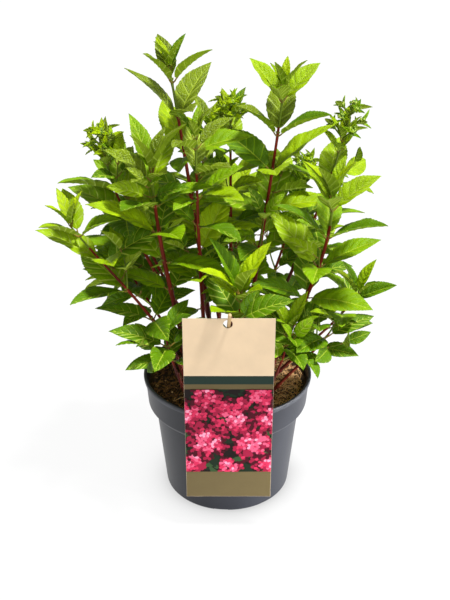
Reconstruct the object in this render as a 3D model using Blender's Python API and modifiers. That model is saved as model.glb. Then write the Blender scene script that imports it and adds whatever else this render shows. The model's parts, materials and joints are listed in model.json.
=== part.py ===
"""A panicle hydrangea in a plastic nursery pot, with its picture card on a stick.

Metres, +Z up, -Y towards the front. The origin is the middle of the pot's flat underside.
Every shoot is a bare cane that stands on the fill and a mass of leaves that grows on from it.
"""

import math
import random
from collections import namedtuple

import bmesh
import bpy
from mathutils import Vector
from mathutils.bvhtree import BVHTree

GAP = 0.0003
MERGE = 0.00001

# Pot: radii are outer ones, from the rolled lip down to the foot
POT_HEIGHT = 0.144
POT_STEPS = 40
POT_WALL = 0.0015
LIP_RADIUS = 0.095
LIP_DEPTH = 0.0055
BAND_TOP_RADIUS = 0.0927
BAND_FOOT_RADIUS = 0.0905
BAND_FOOT_Z = 0.109
WALL_TOP_RADIUS = 0.082
WALL_TOP_Z = 0.1015
BASE_RADIUS = 0.0722
BASE_EDGE = 0.0025
FLOOR_TOP = 0.005
ROLL_SHARE = 0.3
INNER_EDGE_SHARE = 0.6
BAND_BEVEL_UP = 0.0015
BAND_BEVEL_DOWN = 0.0014
BAND_BEVEL_IN = 0.0018

# Drainage: recesses round the foot, each with a hole up through the floor
DRAINS = 8
DRAIN_TURN = math.radians(39)
DRAIN_WIDTH = 0.016
DRAIN_DEPTH = 0.013
DRAIN_HEIGHT = 0.0025
DRAIN_PAST_EDGE = 0.004
DRAIN_HOLE_RADIUS = 0.0032
DRAIN_HOLE_FROM_AXIS = 0.0645
DRAIN_SIDES = 6

FILL_TOP = 0.130
FILL_CLEARANCE = 0.0005
FILL_SHOULDER_RISE = 0.0002

# Old wood: the short pruned stem that stands inside the clump
WOOD_PLACE = (0.0, 0.012)
WOOD_HEIGHT = 0.030
WOOD_FLARE_RADIUS = 0.012
WOOD_RADIUS = 0.0075
WOOD_EDGE = 0.003
WOOD_CROWN = 0.0008
WOOD_CUT_SHARE = 0.80
WOOD_WAIST = (0.60, 0.93)
WOOD_SWELL = (0.30, 1.08)
WOOD_STEPS = 12

# Picture card and the stick that it hangs on by its hole
CARD_WIDTH = 0.0902
CARD_LENGTH = 0.2223
CARD_THICKNESS = 0.0007
CARD_TOP = (0.001, -0.1096, 0.2656)
CARD_LEAN = math.radians(2.7)
CARD_HOLE_RADIUS = 0.0047
CARD_HOLE_DROP = 0.0062
CARD_HOLE_SIDES = 20
STICK_FOOT = (-0.006, -0.020)
STICK_RADIUS = 0.0018
STICK_BEYOND_CARD = 0.018
STICK_BEND_SHARE = 0.04

# Canes and leaves
FOOT_RADIUS_LEAST = 0.0016
FOOT_RADIUS_PER_METRE = 0.0040
TIP_SHARE_OF_RADIUS = 0.38
RISE_LOW = 0.34
RISE_HIGH = 0.69
SLOPE_STEP = 0.01
UPRIGHT_FOOT = 0.003
CANE_POINTS = 6
FIRST_NODE = 0.35
LAST_NODE = 0.55
NODE_CROWDING = 1.12
PETIOLE = 0.0075
ROOT_DEPTH = 0.0012
PETIOLE_RADIUS = 0.0013
BLADE_SHARE = 0.50
BLADE_THICKNESS = 0.0012
BLADE_PEAK = (0.72, 1.06)
LEAF_SECTIONS = (0.27, 0.63)
SMALL_LEAF = 0.034
SMALL_LEAF_SECTIONS = (0.38,)
LEAF_FOLD = math.radians(24)
LIGHT_DIRECTION = (0.0, -0.25, 1.0)
LIGHT_PULL = 0.9
ANGLE_FROM_AXIS = (math.radians(70), math.radians(42))
LEAF_BEND = (math.radians(24), math.radians(18))
SIZE_BY_HEIGHT = (0.84, 0.98, 1.04, 0.96, 0.74)
BRACT_SHARE = 0.55
TIP_NODE = 0.985
TIP_LEAVES = 4
TIP_LEAF_LOOSE_TURN = 15.0
TIP_LEAF_SPREAD = (0.6, 1.5)
TIP_LEAF_SIZES = (0.70, 1.15)
TIP_LEAF_SLIM = 0.76
TIP_LEAF_ANGLE = math.radians(19)
TIP_LEAF_BEND = math.radians(22)
LOOSE_TURN = 9.0
LOOSE_TILT = 10.0
LOOSE_ROLL = 16.0
LOOSE_SIZE = 0.10
LOOSE_BEND = 0.3
CLEARANCE = 0.0006
FIRST_SEED = 100

# What a leaf that would touch something tries next: size, then tilt, then turn in degrees
TRY_SIZES = (1.0, 0.84, 0.68)
TRY_TILTS = (0.0, 14.0, -14.0)
TRY_TURNS = (0.0, 15.0, -15.0, 30.0, -30.0)

# Bud panicles: a middle twig and tiers of short side twigs, each widening into a knot of buds
PANICLE_LENGTH = 0.038
PANICLE_TIERS = 3
PANICLE_TWIGS = 3
PANICLE_REACH = 0.017
PANICLE_TAPER = 0.55
PANICLE_RISE = 0.75
PANICLE_ROOT = 0.004
BUD_KNOT_RADIUS = 0.0036
BUD_KNOT_PLACE = 0.72

# Foot and stem tip are places in metres; sway is how far out the cane has come a third and
# two thirds of the way up; bare is the share of the cane below its leaves; turn is the bearing
# in degrees of the lowest leaf, where 0 is +X and -90 is the front; leaf is a full leaf's length
# and tuft the share of it that the young leaves at the tip have; buds is the size of the
# shoot's bud panicle, as a share of a full one.
Shoot = namedtuple("Shoot", "name foot tip sway bare nodes whorl turn leaf tuft buds")
SHOOTS = (
    Shoot("front_left", (-0.034, -0.022), (-0.075, -0.030, 0.388), (0.45, 0.95),
          0.43, 5, 3, 180, 0.066, 0.90, 0.0),
    Shoot("outer_right", (0.036, -0.022), (0.103, -0.040, 0.362), (0.40, 1.05),
          0.30, 5, 3, 20, 0.066, 0.80, 0.0),
    Shoot("tall_left", (-0.012, -0.010), (-0.058, 0.020, 0.478), (0.24, 0.60),
          0.32, 6, 3, 170, 0.066, 0.55, 0.0),
    Shoot("tall_right", (0.016, -0.004), (0.056, 0.020, 0.458), (0.22, 0.75),
          0.30, 6, 3, 200, 0.067, 0.50, 0.0),
    Shoot("front_centre", (0.010, -0.044), (0.012, -0.074, 0.275), (0.20, 0.80),
          0.34, 4, 3, 250, 0.058, 0.95, 0.0),
    Shoot("bud_left", (-0.026, 0.014), (-0.128, 0.030, 0.386), (0.25, 0.90),
          0.42, 5, 3, 150, 0.066, 0.50, 0.8),
    Shoot("bud_right", (0.024, 0.014), (0.122, 0.048, 0.398), (0.32, 0.80),
          0.60, 3, 3, 20, 0.062, 0.50, 1.0),
    Shoot("low_left", (-0.046, -0.036), (-0.160, -0.030, 0.331), (-0.05, 0.62),
          0.40, 4, 3, 170, 0.066, 0.50, 0.0),
    Shoot("inner_left", (-0.022, -0.002), (-0.031, -0.030, 0.420), (0.60, 1.00),
          0.30, 7, 2, 215, 0.060, 0.55, 0.0),
    Shoot("inner_back", (0.004, 0.034), (0.003, 0.050, 0.418), (0.30, 0.80),
          0.34, 7, 2, 0, 0.060, 0.50, 0.6),
    Shoot("low_right", (0.048, -0.004), (0.138, -0.020, 0.248), (0.30, 0.80),
          0.56, 3, 2, -10, 0.054, 0.80, 0.0),
    Shoot("low_right_front", (0.046, -0.034), (0.112, -0.052, 0.232), (0.30, 0.85),
          0.60, 3, 2, -40, 0.050, 0.80, 0.0),
    Shoot("rim_left", (-0.040, -0.054), (-0.064, -0.070, 0.234), (0.40, 0.95),
          0.54, 3, 3, 200, 0.050, 0.80, 0.0),
    Shoot("rim_right", (0.036, -0.054), (0.062, -0.074, 0.232), (0.40, 0.95),
          0.58, 3, 2, 10, 0.046, 0.80, 0.0),
    Shoot("back_centre", (-0.008, 0.042), (-0.018, 0.104, 0.392), (0.30, 0.80),
          0.42, 5, 3, 80, 0.064, 0.60, 0.0),
    Shoot("back_right", (0.020, 0.038), (0.086, 0.110, 0.330), (0.30, 0.80),
          0.46, 5, 3, 30, 0.056, 0.50, 0.8),
    Shoot("back_left", (-0.026, 0.036), (-0.120, 0.090, 0.335), (0.30, 0.80),
          0.42, 5, 3, 140, 0.062, 0.60, 0.0),
    Shoot("back_low", (0.006, 0.058), (0.012, 0.158, 0.300), (0.20, 0.90),
          0.42, 4, 3, 90, 0.062, 0.60, 0.0),
    Shoot("back_low_right", (0.036, 0.032), (0.102, 0.112, 0.262), (0.20, 0.90),
          0.45, 4, 3, 50, 0.056, 0.60, 0.0),
    Shoot("back_low_left", (-0.042, 0.022), (-0.128, 0.104, 0.248), (0.20, 0.90),
          0.45, 4, 3, 120, 0.060, 0.60, 0.0),
)

# Surfaces: colour and roughness
POT_SURFACE = ((0.055, 0.058, 0.065), 0.42)
FILL_SURFACE = ((0.16, 0.085, 0.035), 0.95)
WOOD_SURFACE = ((0.10, 0.055, 0.030), 0.90)
CANE_SURFACE = ((0.115, 0.020, 0.015), 0.55)
LEAF_SURFACE = ((0.130, 0.260, 0.010), 0.45)
CARD_SURFACE = ((0.80, 0.62, 0.42), 0.50)
STICK_SURFACE = ((0.62, 0.44, 0.24), 0.70)

Leaf = namedtuple("Leaf", "root along normal length width bend")


# Scene and materials

def clear_scene():
    for item in list(bpy.data.objects):
        bpy.data.objects.remove(item, do_unlink=True)


def new_collection(name):
    collection = bpy.data.collections.new(name)
    bpy.context.scene.collection.children.link(collection)
    return collection


def make_material(name, colour, roughness):
    material = bpy.data.materials.new(name)
    material.use_nodes = True
    shader = material.node_tree.nodes["Principled BSDF"]
    shader.inputs["Base Color"].default_value = (*colour, 1.0)
    shader.inputs["Roughness"].default_value = roughness
    shader.inputs["Metallic"].default_value = 0.0
    return material


def link_object(name, data, collection, material=None):
    piece = bpy.data.objects.new(name, data)
    collection.objects.link(piece)
    if material is not None:
        data.materials.append(material)
    return piece


def applied_mesh(piece):
    graph = bpy.context.evaluated_depsgraph_get()
    graph.update()
    return bpy.data.meshes.new_from_object(piece.evaluated_get(graph))


# Turned pieces

def turned_object(name, profile, steps, collection, material, place=(0.0, 0.0)):
    mesh = bpy.data.meshes.new(name)
    edges = [(i, i + 1) for i in range(len(profile) - 1)]
    mesh.from_pydata([(radius, 0.0, height) for radius, height in profile], edges, [])
    piece = link_object(name, mesh, collection, material)
    piece.location = (place[0], place[1], 0.0)
    screw = piece.modifiers.new("Turn", "SCREW")
    screw.axis = "Z"
    screw.angle = 2.0 * math.pi
    screw.steps = steps
    screw.render_steps = steps
    screw.use_merge_vertices = True
    screw.merge_threshold = MERGE
    screw.use_smooth_shade = True
    return piece


def pot_profile():
    lip_mid = POT_HEIGHT - 0.5 * LIP_DEPTH
    roll = ROLL_SHARE * LIP_DEPTH
    return [
        (0.0, FLOOR_TOP),
        (BASE_RADIUS - POT_WALL, FLOOR_TOP),
        (WALL_TOP_RADIUS - POT_WALL, WALL_TOP_Z),
        (BAND_FOOT_RADIUS - POT_WALL, BAND_FOOT_Z),
        (BAND_TOP_RADIUS - POT_WALL, POT_HEIGHT - roll),
        (BAND_TOP_RADIUS - (1.0 - INNER_EDGE_SHARE) * POT_WALL, POT_HEIGHT),
        (LIP_RADIUS - 0.5 * roll, POT_HEIGHT),
        (LIP_RADIUS, lip_mid),
        (BAND_TOP_RADIUS, POT_HEIGHT - LIP_DEPTH - 0.5 * roll),
        (BAND_FOOT_RADIUS, BAND_FOOT_Z + BAND_BEVEL_UP),
        (BAND_FOOT_RADIUS - BAND_BEVEL_IN, BAND_FOOT_Z - BAND_BEVEL_DOWN),
        (WALL_TOP_RADIUS, WALL_TOP_Z),
        (BASE_RADIUS, BASE_EDGE),
        (BASE_RADIUS - BASE_EDGE, 0.0),
        (0.0, 0.0),
    ]


def cut(piece, cutter, name):
    boolean = piece.modifiers.new(name, "BOOLEAN")
    boolean.operation = "DIFFERENCE"
    boolean.solver = "EXACT"
    boolean.object = cutter
    cutter.hide_render = True
    cutter.display_type = "WIRE"


def drain_cutters(cutters):
    recesses = bmesh.new()
    holes = bmesh.new()
    for index in range(DRAINS):
        bearing = 2.0 * math.pi * index / DRAINS + DRAIN_TURN
        outward = Vector((math.cos(bearing), math.sin(bearing), 0.0))
        aside = Vector((-outward.y, outward.x, 0.0))
        middle = outward * (BASE_RADIUS - 0.5 * DRAIN_DEPTH + 0.5 * DRAIN_PAST_EDGE)
        for corner in bmesh.ops.create_cube(recesses, size=1.0)["verts"]:
            reach = corner.co.x * (DRAIN_DEPTH + DRAIN_PAST_EDGE)
            shift = outward * reach + aside * (corner.co.y * DRAIN_WIDTH)
            corner.co = middle + shift + Vector((0.0, 0.0, corner.co.z * 2.0 * DRAIN_HEIGHT))
        round_cut = bmesh.ops.create_cone(
            holes, cap_ends=True, segments=DRAIN_SIDES,
            radius1=DRAIN_HOLE_RADIUS, radius2=DRAIN_HOLE_RADIUS, depth=4.0 * FLOOR_TOP)
        for corner in round_cut["verts"]:
            corner.co += outward * DRAIN_HOLE_FROM_AXIS
    result = []
    for name, shape in (("drain_recesses", recesses), ("drain_holes", holes)):
        mesh = bpy.data.meshes.new(name)
        shape.to_mesh(mesh)
        shape.free()
        result.append(link_object(name, mesh, cutters))
    return result


def make_pot(collection, cutters):
    material = make_material("pot_plastic", *POT_SURFACE)
    pot = turned_object("pot", pot_profile(), POT_STEPS, collection, material)
    recesses, holes = drain_cutters(cutters)
    cut(pot, recesses, "Recesses")
    cut(pot, holes, "Holes")
    return pot


def make_fill(collection):
    material = make_material("coir", *FILL_SURFACE)
    inset = POT_WALL + FILL_CLEARANCE
    slope = (BAND_TOP_RADIUS - BAND_FOOT_RADIUS) / (POT_HEIGHT - LIP_DEPTH - BAND_FOOT_Z)
    top_radius = BAND_FOOT_RADIUS + slope * (FILL_TOP - BAND_FOOT_Z) - inset
    profile = [
        (0.0, FILL_TOP),
        (top_radius, FILL_TOP),
        (BAND_FOOT_RADIUS - inset, BAND_FOOT_Z + FILL_SHOULDER_RISE),
        (WALL_TOP_RADIUS - inset, WALL_TOP_Z + FILL_SHOULDER_RISE),
        (BASE_RADIUS - inset, FLOOR_TOP + GAP),
        (0.0, FLOOR_TOP + GAP),
    ]
    return turned_object("fill", profile, POT_STEPS, collection, material)


def make_old_wood(collection):
    material = make_material("old_wood", *WOOD_SURFACE)
    foot = FILL_TOP + GAP
    waist_height, waist = WOOD_WAIST
    swell_height, swell = WOOD_SWELL
    profile = [
        (0.0, foot + WOOD_HEIGHT),
        (WOOD_CUT_SHARE * WOOD_RADIUS, foot + WOOD_HEIGHT - WOOD_CROWN),
        (WOOD_RADIUS, foot + WOOD_HEIGHT - WOOD_EDGE),
        (waist * WOOD_RADIUS, foot + waist_height * WOOD_HEIGHT),
        (swell * WOOD_RADIUS, foot + swell_height * WOOD_HEIGHT),
        (WOOD_FLARE_RADIUS, foot),
        (0.0, foot),
    ]
    return turned_object("old_wood", profile, WOOD_STEPS, collection, material, WOOD_PLACE)


# Card and stick

def card_frame():
    """The middle of the card's top edge, its way up and its way to the front."""
    up = Vector((0.0, -math.sin(CARD_LEAN), math.cos(CARD_LEAN)))
    front = Vector((0.0, -math.cos(CARD_LEAN), -math.sin(CARD_LEAN)))
    return Vector(CARD_TOP), up, front


def stick_ends():
    """Foot and tip of the straight stick, which passes the card at the upper side of its hole."""
    top, up, front = card_frame()
    foot = Vector((*STICK_FOOT, FILL_TOP + GAP))
    hole = top - up * CARD_HOLE_DROP
    along = (hole - foot).normalized()
    slant = abs(along.dot(front))
    half_slot = STICK_RADIUS / slant + 0.5 * CARD_THICKNESS * math.sqrt(1.0 - slant * slant) / slant
    rise = CARD_HOLE_RADIUS - half_slot - GAP
    crossing = hole + up * rise
    along = (crossing - foot).normalized()
    return foot, crossing + along * STICK_BEYOND_CARD


def make_card(collection):
    material = make_material("card", *CARD_SURFACE)
    top, up, _ = card_frame()
    outline = bpy.data.curves.new("card", "CURVE")
    outline.dimensions = "2D"
    outline.fill_mode = "BOTH"
    outline.extrude = 0.5 * CARD_THICKNESS
    half = 0.5 * CARD_WIDTH
    corners = [(-half, 0.0), (-half, -CARD_LENGTH), (half, -CARD_LENGTH), (half, 0.0)]
    edge = outline.splines.new("POLY")
    edge.points.add(len(corners) - 1)
    for point, corner in zip(edge.points, corners):
        point.co = (corner[0], corner[1], 0.0, 1.0)
    edge.use_cyclic_u = True
    hole = outline.splines.new("POLY")
    hole.points.add(CARD_HOLE_SIDES - 1)
    for index, point in enumerate(hole.points):
        turn = 2.0 * math.pi * index / CARD_HOLE_SIDES
        across = CARD_HOLE_RADIUS * math.cos(turn) - CARD_TOP[0]
        point.co = (across, CARD_HOLE_RADIUS * math.sin(turn) - CARD_HOLE_DROP, 0.0, 1.0)
    hole.use_cyclic_u = True
    flat = bpy.data.objects.new("card_outline", outline)
    collection.objects.link(flat)
    flat.location = top
    flat.rotation_euler = (math.atan2(up.z, up.y), 0.0, 0.0)
    bpy.context.view_layer.update()
    mesh = applied_mesh(flat)
    weld(mesh)
    card = link_object("card", mesh, collection, material)
    card.matrix_world = flat.matrix_world
    bpy.data.objects.remove(flat, do_unlink=True)
    return card


def make_stick(collection):
    material = make_material("stick", *STICK_SURFACE)
    foot, tip = stick_ends()
    points = [foot, foot + Vector((0.0, 0.0, UPRIGHT_FOOT)), foot.lerp(tip, STICK_BEND_SHARE), tip]
    radii = [STICK_RADIUS] * len(points)
    return tube_object("stick", points, radii, 2, collection, material)


# Tubes and welding

def weld(mesh):
    shape = bmesh.new()
    shape.from_mesh(mesh)
    bmesh.ops.remove_doubles(shape, verts=shape.verts, dist=MERGE)
    shape.to_mesh(mesh)
    shape.free()


def tube_object(name, points, radii, resolution, collection, material):
    curve = bpy.data.curves.new(name, "CURVE")
    curve.dimensions = "3D"
    curve.bevel_depth = 1.0
    curve.bevel_resolution = resolution
    curve.use_fill_caps = True
    spline = curve.splines.new("POLY")
    spline.points.add(len(points) - 1)
    for knot, point, radius in zip(spline.points, points, radii):
        knot.co = (*point, 1.0)
        knot.radius = radius
    drawn = bpy.data.objects.new(name + "_curve", curve)
    collection.objects.link(drawn)
    mesh = applied_mesh(drawn)
    weld(mesh)
    bpy.data.objects.remove(drawn, do_unlink=True)
    return link_object(name, mesh, collection, material)


# Growth: where the canes, nodes and leaves are

def shoot_height(shoot):
    return shoot.tip[2] - FILL_TOP


def shoot_point(shoot, share):
    """A point of the cane's middle line, a cubic curve from its foot to its tip."""
    foot = Vector((*shoot.foot, FILL_TOP + GAP))
    way = Vector(shoot.tip) - foot
    low = foot + Vector((way.x * shoot.sway[0], way.y * shoot.sway[0], way.z * RISE_LOW))
    high = foot + Vector((way.x * shoot.sway[1], way.y * shoot.sway[1], way.z * RISE_HIGH))
    rest = 1.0 - share
    point = foot * rest ** 3 + low * (3.0 * rest * rest * share)
    return point + high * (3.0 * rest * share * share) + Vector(shoot.tip) * share ** 3


def shoot_direction(shoot, share):
    start = max(0.0, share - SLOPE_STEP)
    end = min(1.0, share + SLOPE_STEP)
    return (shoot_point(shoot, end) - shoot_point(shoot, start)).normalized()


def leaf_axis(shoot, share):
    """The line that leaves are set round: they turn from the stem's own direction towards the light."""
    return shoot_direction(shoot, share).lerp(Vector(LIGHT_DIRECTION), LIGHT_PULL).normalized()


def shoot_radius(shoot, share):
    foot_radius = FOOT_RADIUS_LEAST + FOOT_RADIUS_PER_METRE * shoot_height(shoot)
    return foot_radius * (1.0 - (1.0 - TIP_SHARE_OF_RADIUS) * share)


def node_shares(shoot):
    """Where the leaf nodes are on the shoot, closer together towards the tip."""
    shares = []
    for index in range(shoot.nodes):
        rest = 1.0 - (index + FIRST_NODE) / (shoot.nodes - 1 + FIRST_NODE + LAST_NODE)
        shares.append(1.0 - (1.0 - shoot.bare) * rest ** NODE_CROWDING)
    return shares


def mix(low, high, share):
    return low + (high - low) * share


def node_height(shoot, index):
    return index / (shoot.nodes - 1)


def leaf_share(shoot, index):
    """Size of a node's leaves by its height on the shoot; next to a panicle they are bracts."""
    place = node_height(shoot, index) * (len(SIZE_BY_HEIGHT) - 1)
    below = min(int(place), len(SIZE_BY_HEIGHT) - 2)
    share = mix(SIZE_BY_HEIGHT[below], SIZE_BY_HEIGHT[below + 1], place - below)
    return share * BRACT_SHARE if shoot.buds and index == shoot.nodes - 1 else share


def grow_leaf(root, axis, bearing, angle, roll, length, bend, slim=1.0):
    """A leaf at bearing round an axis, leaving it at angle, its upper face towards the axis."""
    level = Vector((math.cos(bearing), math.sin(bearing), 0.0))
    outward = (level - axis * level.dot(axis)).normalized()
    along = outward * math.sin(angle) + axis * math.cos(angle)
    normal = (axis - along * axis.dot(along)).normalized()
    side = along.cross(normal)
    normal = normal * math.cos(roll) + side * math.sin(roll)
    return Leaf(root, along, normal, length, length * BLADE_SHARE * slim, bend)


def half_width(leaf, share):
    rise, fall = BLADE_PEAK
    peak = rise / (rise + fall)
    most = peak ** rise * (1.0 - peak) ** fall
    return 0.5 * leaf.width * share ** rise * (1.0 - share) ** fall / most


def blade_frame(leaf, share):
    """Midrib point, upper side and sideways direction at a share of the blade's length."""
    side = leaf.along.cross(leaf.normal)
    turn = leaf.bend * share
    reach = leaf.length * math.sin(turn) / leaf.bend
    drop = leaf.length * (1.0 - math.cos(turn)) / leaf.bend
    middle = leaf.root + leaf.along * (PETIOLE + reach) - leaf.normal * drop
    upper = leaf.normal * math.cos(turn) + leaf.along * math.sin(turn)
    return middle, upper, side


# Leaf solids: a loft of four-cornered sections along the midrib, folded up along it

def blade_corners(leaf, share, extra):
    """Left edge, top, right edge and underside of the blade at a share of its length."""
    middle, upper, side = blade_frame(leaf, share)
    width = half_width(leaf, share) + extra
    thick = 0.5 * BLADE_THICKNESS + extra
    raised = upper * (width * math.sin(LEAF_FOLD))
    reach = side * (width * math.cos(LEAF_FOLD))
    return [middle - reach + raised, middle + upper * thick, middle + reach + raised, middle - upper * thick]


def stalk_corners(leaf, extra):
    """Left, right and underside of the stalk where the blade begins."""
    middle, upper, side = blade_frame(leaf, 0.0)
    radius = PETIOLE_RADIUS + extra
    level = middle + upper * (0.5 * radius)
    return [level - side * radius, level + side * radius, middle - upper * radius]


def leaf_shape(leaf, extra=0.0, whole=True):
    """Points and faces of one closed leaf, larger all round by extra; not whole is its blade alone."""
    small = leaf.length < SMALL_LEAF
    points = []
    for share in (SMALL_LEAF_SECTIONS if small else LEAF_SECTIONS):
        points.extend(blade_corners(leaf, share, extra))
    last = len(points)
    tip, _, _ = blade_frame(leaf, 1.0)
    points.append(tip + leaf.along * extra)
    faces = []
    for corner in range(4):
        following = (corner + 1) % 4
        for base in range(0, last - 4, 4):
            faces.append((base + corner, base + following, base + 4 + following, base + 4 + corner))
        faces.append((last - 4 + corner, last - 4 + following, last))
    if not whole:
        return points, faces
    root = last + 1
    points.append(leaf.root - leaf.along * ROOT_DEPTH)
    if small:
        faces.extend((root, (corner + 1) % 4, corner) for corner in range(4))
        return points, faces
    left, right, under = root + 1, root + 2, root + 3
    points.extend(stalk_corners(leaf, extra))
    faces.extend([(root, right, left), (root, under, right), (root, left, under)])
    faces.extend([(left, right, 1), (left, 1, 0), (right, 2, 1), (left, 0, 3, under), (under, 3, 2, right)])
    return points, faces


def joined_shapes(shapes):
    points = []
    faces = []
    for shape_points, shape_faces in shapes:
        faces.extend(tuple(index + len(points) for index in face) for face in shape_faces)
        points.extend(shape_points)
    return points, faces


def touches(tree, others):
    return any(tree.overlap(other) for other in others)


def settle_leaf(others, own, root, axis, bearing, angle, roll, length, bend, slim=1.0):
    """The first try at a leaf that keeps clear of the others and its own shoot's blades, or None."""
    others = others + [BVHTree.FromPolygons(*joined_shapes([leaf_shape(leaf, 0.0, False) for leaf in own]))]
    for size in TRY_SIZES:
        for tilt in TRY_TILTS:
            for turn in TRY_TURNS:
                leaf = grow_leaf(root, axis, bearing + math.radians(turn),
                                 angle + math.radians(tilt), roll, length * size, bend, slim)
                if not touches(BVHTree.FromPolygons(*leaf_shape(leaf, CLEARANCE)), others):
                    return leaf
    return None


def shoot_leaves(shoot, number, others):
    """Every leaf of a shoot, lowest first, by whorls that turn by half a gap each time."""
    chance = random.Random(FIRST_SEED + number)
    leaves = []
    shares = node_shares(shoot)
    for index, share in enumerate(shares):
        height = node_height(shoot, index)
        axis = leaf_axis(shoot, share)
        root = shoot_point(shoot, share)
        for place in range(shoot.whorl):
            turn = shoot.turn + 360.0 * place / shoot.whorl + 180.0 * index / shoot.whorl
            bearing = math.radians(turn + chance.uniform(-LOOSE_TURN, LOOSE_TURN))
            angle = mix(*ANGLE_FROM_AXIS, height) + math.radians(chance.uniform(-LOOSE_TILT, LOOSE_TILT))
            roll = math.radians(chance.uniform(-LOOSE_ROLL, LOOSE_ROLL))
            length = shoot.leaf * leaf_share(shoot, index) * (1.0 + chance.uniform(-LOOSE_SIZE, LOOSE_SIZE))
            bend = mix(*LEAF_BEND, height) * (1.0 + chance.uniform(-LOOSE_BEND, LOOSE_BEND))
            leaf = settle_leaf(others, leaves, root, axis, bearing, angle, roll, length, bend)
            if leaf is not None:
                leaves.append(leaf)
    add_tip_leaves(shoot, chance, others, leaves)
    return leaves


def add_tip_leaves(shoot, chance, others, leaves):
    """The young leaves that stand up round the stem's end."""
    axis = leaf_axis(shoot, TIP_NODE)
    root = shoot_point(shoot, TIP_NODE)
    for place in range(TIP_LEAVES):
        turn = shoot.turn + 360.0 * (place + 0.5) / TIP_LEAVES
        bearing = math.radians(turn + chance.uniform(-TIP_LEAF_LOOSE_TURN, TIP_LEAF_LOOSE_TURN))
        angle = TIP_LEAF_ANGLE * chance.uniform(*TIP_LEAF_SPREAD)
        length = shoot.leaf * shoot.tuft * chance.uniform(*TIP_LEAF_SIZES)
        leaf = settle_leaf(others, leaves, root, axis, bearing, angle, 0.0, length, TIP_LEAF_BEND,
                           TIP_LEAF_SLIM)
        if leaf is not None:
            leaves.append(leaf)


def panicle_twigs(shoot):
    """Start and end of each twig of the bud panicle, the middle one first."""
    base = shoot_point(shoot, 1.0)
    axis = shoot_direction(shoot, 1.0)
    across = axis.orthogonal().normalized()
    length = PANICLE_LENGTH * shoot.buds
    twigs = [(base - axis * PANICLE_ROOT, base + axis * length)]
    for tier in range(PANICLE_TIERS):
        share = tier / PANICLE_TIERS
        for place in range(PANICLE_TWIGS):
            turn = 2.0 * math.pi * (place + 0.5 * (tier % 2)) / PANICLE_TWIGS
            outward = across * math.cos(turn) + axis.cross(across) * math.sin(turn)
            start = base + axis * (length * share)
            reach = PANICLE_REACH * shoot.buds * (1.0 - PANICLE_TAPER * share)
            twigs.append((start, start + outward * reach + axis * (PANICLE_RISE * reach)))
    return twigs


# Cane and foliage objects

def mesh_object(name, points, faces, collection, material=None):
    mesh = bpy.data.meshes.new(name)
    mesh.from_pydata([tuple(point) for point in points], [], faces)
    return link_object(name, mesh, collection, material)


def make_cane(shoot, collection, material):
    shares = [shoot.bare * index / (CANE_POINTS - 1) for index in range(CANE_POINTS)]
    points = [shoot_point(shoot, share) for share in shares]
    points.insert(1, points[0] + Vector((0.0, 0.0, UPRIGHT_FOOT)))
    radii = [shoot_radius(shoot, share) for share in shares]
    radii.insert(1, radii[0])
    return tube_object("cane_" + shoot.name, points, radii, 1, collection, material)


def stem_start(shoot):
    """Share of the shoot where its leafy stem starts, clear of the cane's end."""
    reach = (shoot_point(shoot, shoot.bare + SLOPE_STEP) - shoot_point(shoot, shoot.bare)).length
    return shoot.bare + GAP * SLOPE_STEP / reach


def make_leafy_stem(shoot, collection, material):
    shares = [stem_start(shoot), *node_shares(shoot), 1.0]
    points = [shoot_point(shoot, share) for share in shares]
    radii = [shoot_radius(shoot, share) for share in shares]
    return tube_object("foliage_" + shoot.name, points, radii, 0, collection, material)


def bud_shape(start, end):
    """A slim twig that widens into a four-sided knot of buds, pointed at both ends."""
    along = (end - start).normalized()
    across = along.orthogonal().normalized()
    middle = start.lerp(end, BUD_KNOT_PLACE)
    points = [start, end]
    for corner in range(4):
        turn = 0.5 * math.pi * corner
        outward = across * math.cos(turn) + along.cross(across) * math.sin(turn)
        points.append(middle + outward * BUD_KNOT_RADIUS)
    faces = []
    for corner in range(4):
        here = 2 + corner
        following = 2 + (corner + 1) % 4
        faces.extend([(0, following, here), (1, here, following)])
    return points, faces


def make_panicle(shoot, collection):
    pieces = []
    for index, (start, end) in enumerate(panicle_twigs(shoot)):
        points, faces = bud_shape(start, end)
        pieces.append(mesh_object("%s_buds_%d" % (shoot.name, index), points, faces, collection))
    return pieces


def keep_largest_body(mesh):
    """Drops loose scraps and fills sealed hollows, whose skins are bodies of their own."""
    shape = bmesh.new()
    shape.from_mesh(mesh)
    unseen = set(shape.verts)
    bodies = []
    while unseen:
        front = [unseen.pop()]
        body = set(front)
        while front:
            vertex = front.pop()
            for edge in vertex.link_edges:
                other = edge.other_vert(vertex)
                if other in unseen:
                    unseen.remove(other)
                    body.add(other)
                    front.append(other)
        bodies.append(body)
    bodies.sort(key=len)
    for body in bodies[:-1]:
        bmesh.ops.delete(shape, geom=list(body), context="VERTS")
    shape.to_mesh(mesh)
    shape.free()


def fuse(piece, pieces_collection):
    """Joins the collection's pieces to piece by one union, and removes them."""
    union = piece.modifiers.new("Union", "BOOLEAN")
    union.operation = "UNION"
    union.operand_type = "COLLECTION"
    union.collection = pieces_collection
    union.solver = "MANIFOLD"
    mesh = applied_mesh(piece)
    piece.modifiers.clear()
    keep_largest_body(mesh)
    piece.data = mesh
    for other in list(pieces_collection.objects):
        bpy.data.objects.remove(other, do_unlink=True)
    bpy.data.collections.remove(pieces_collection)


def make_leaves(shoot, leaves, collection):
    pieces = []
    for index, leaf in enumerate(leaves):
        points, faces = leaf_shape(leaf)
        pieces.append(mesh_object("%s_leaf_%d" % (shoot.name, index), points, faces, collection))
    return pieces


def joined_tree(pieces):
    points = []
    faces = []
    for piece in pieces:
        mesh = applied_mesh(piece)
        faces.extend(tuple(index + len(points) for index in face.vertices) for face in mesh.polygons)
        points.extend(tuple(piece.matrix_world @ vertex.co) for vertex in mesh.vertices)
    return BVHTree.FromPolygons(points, faces)


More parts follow.
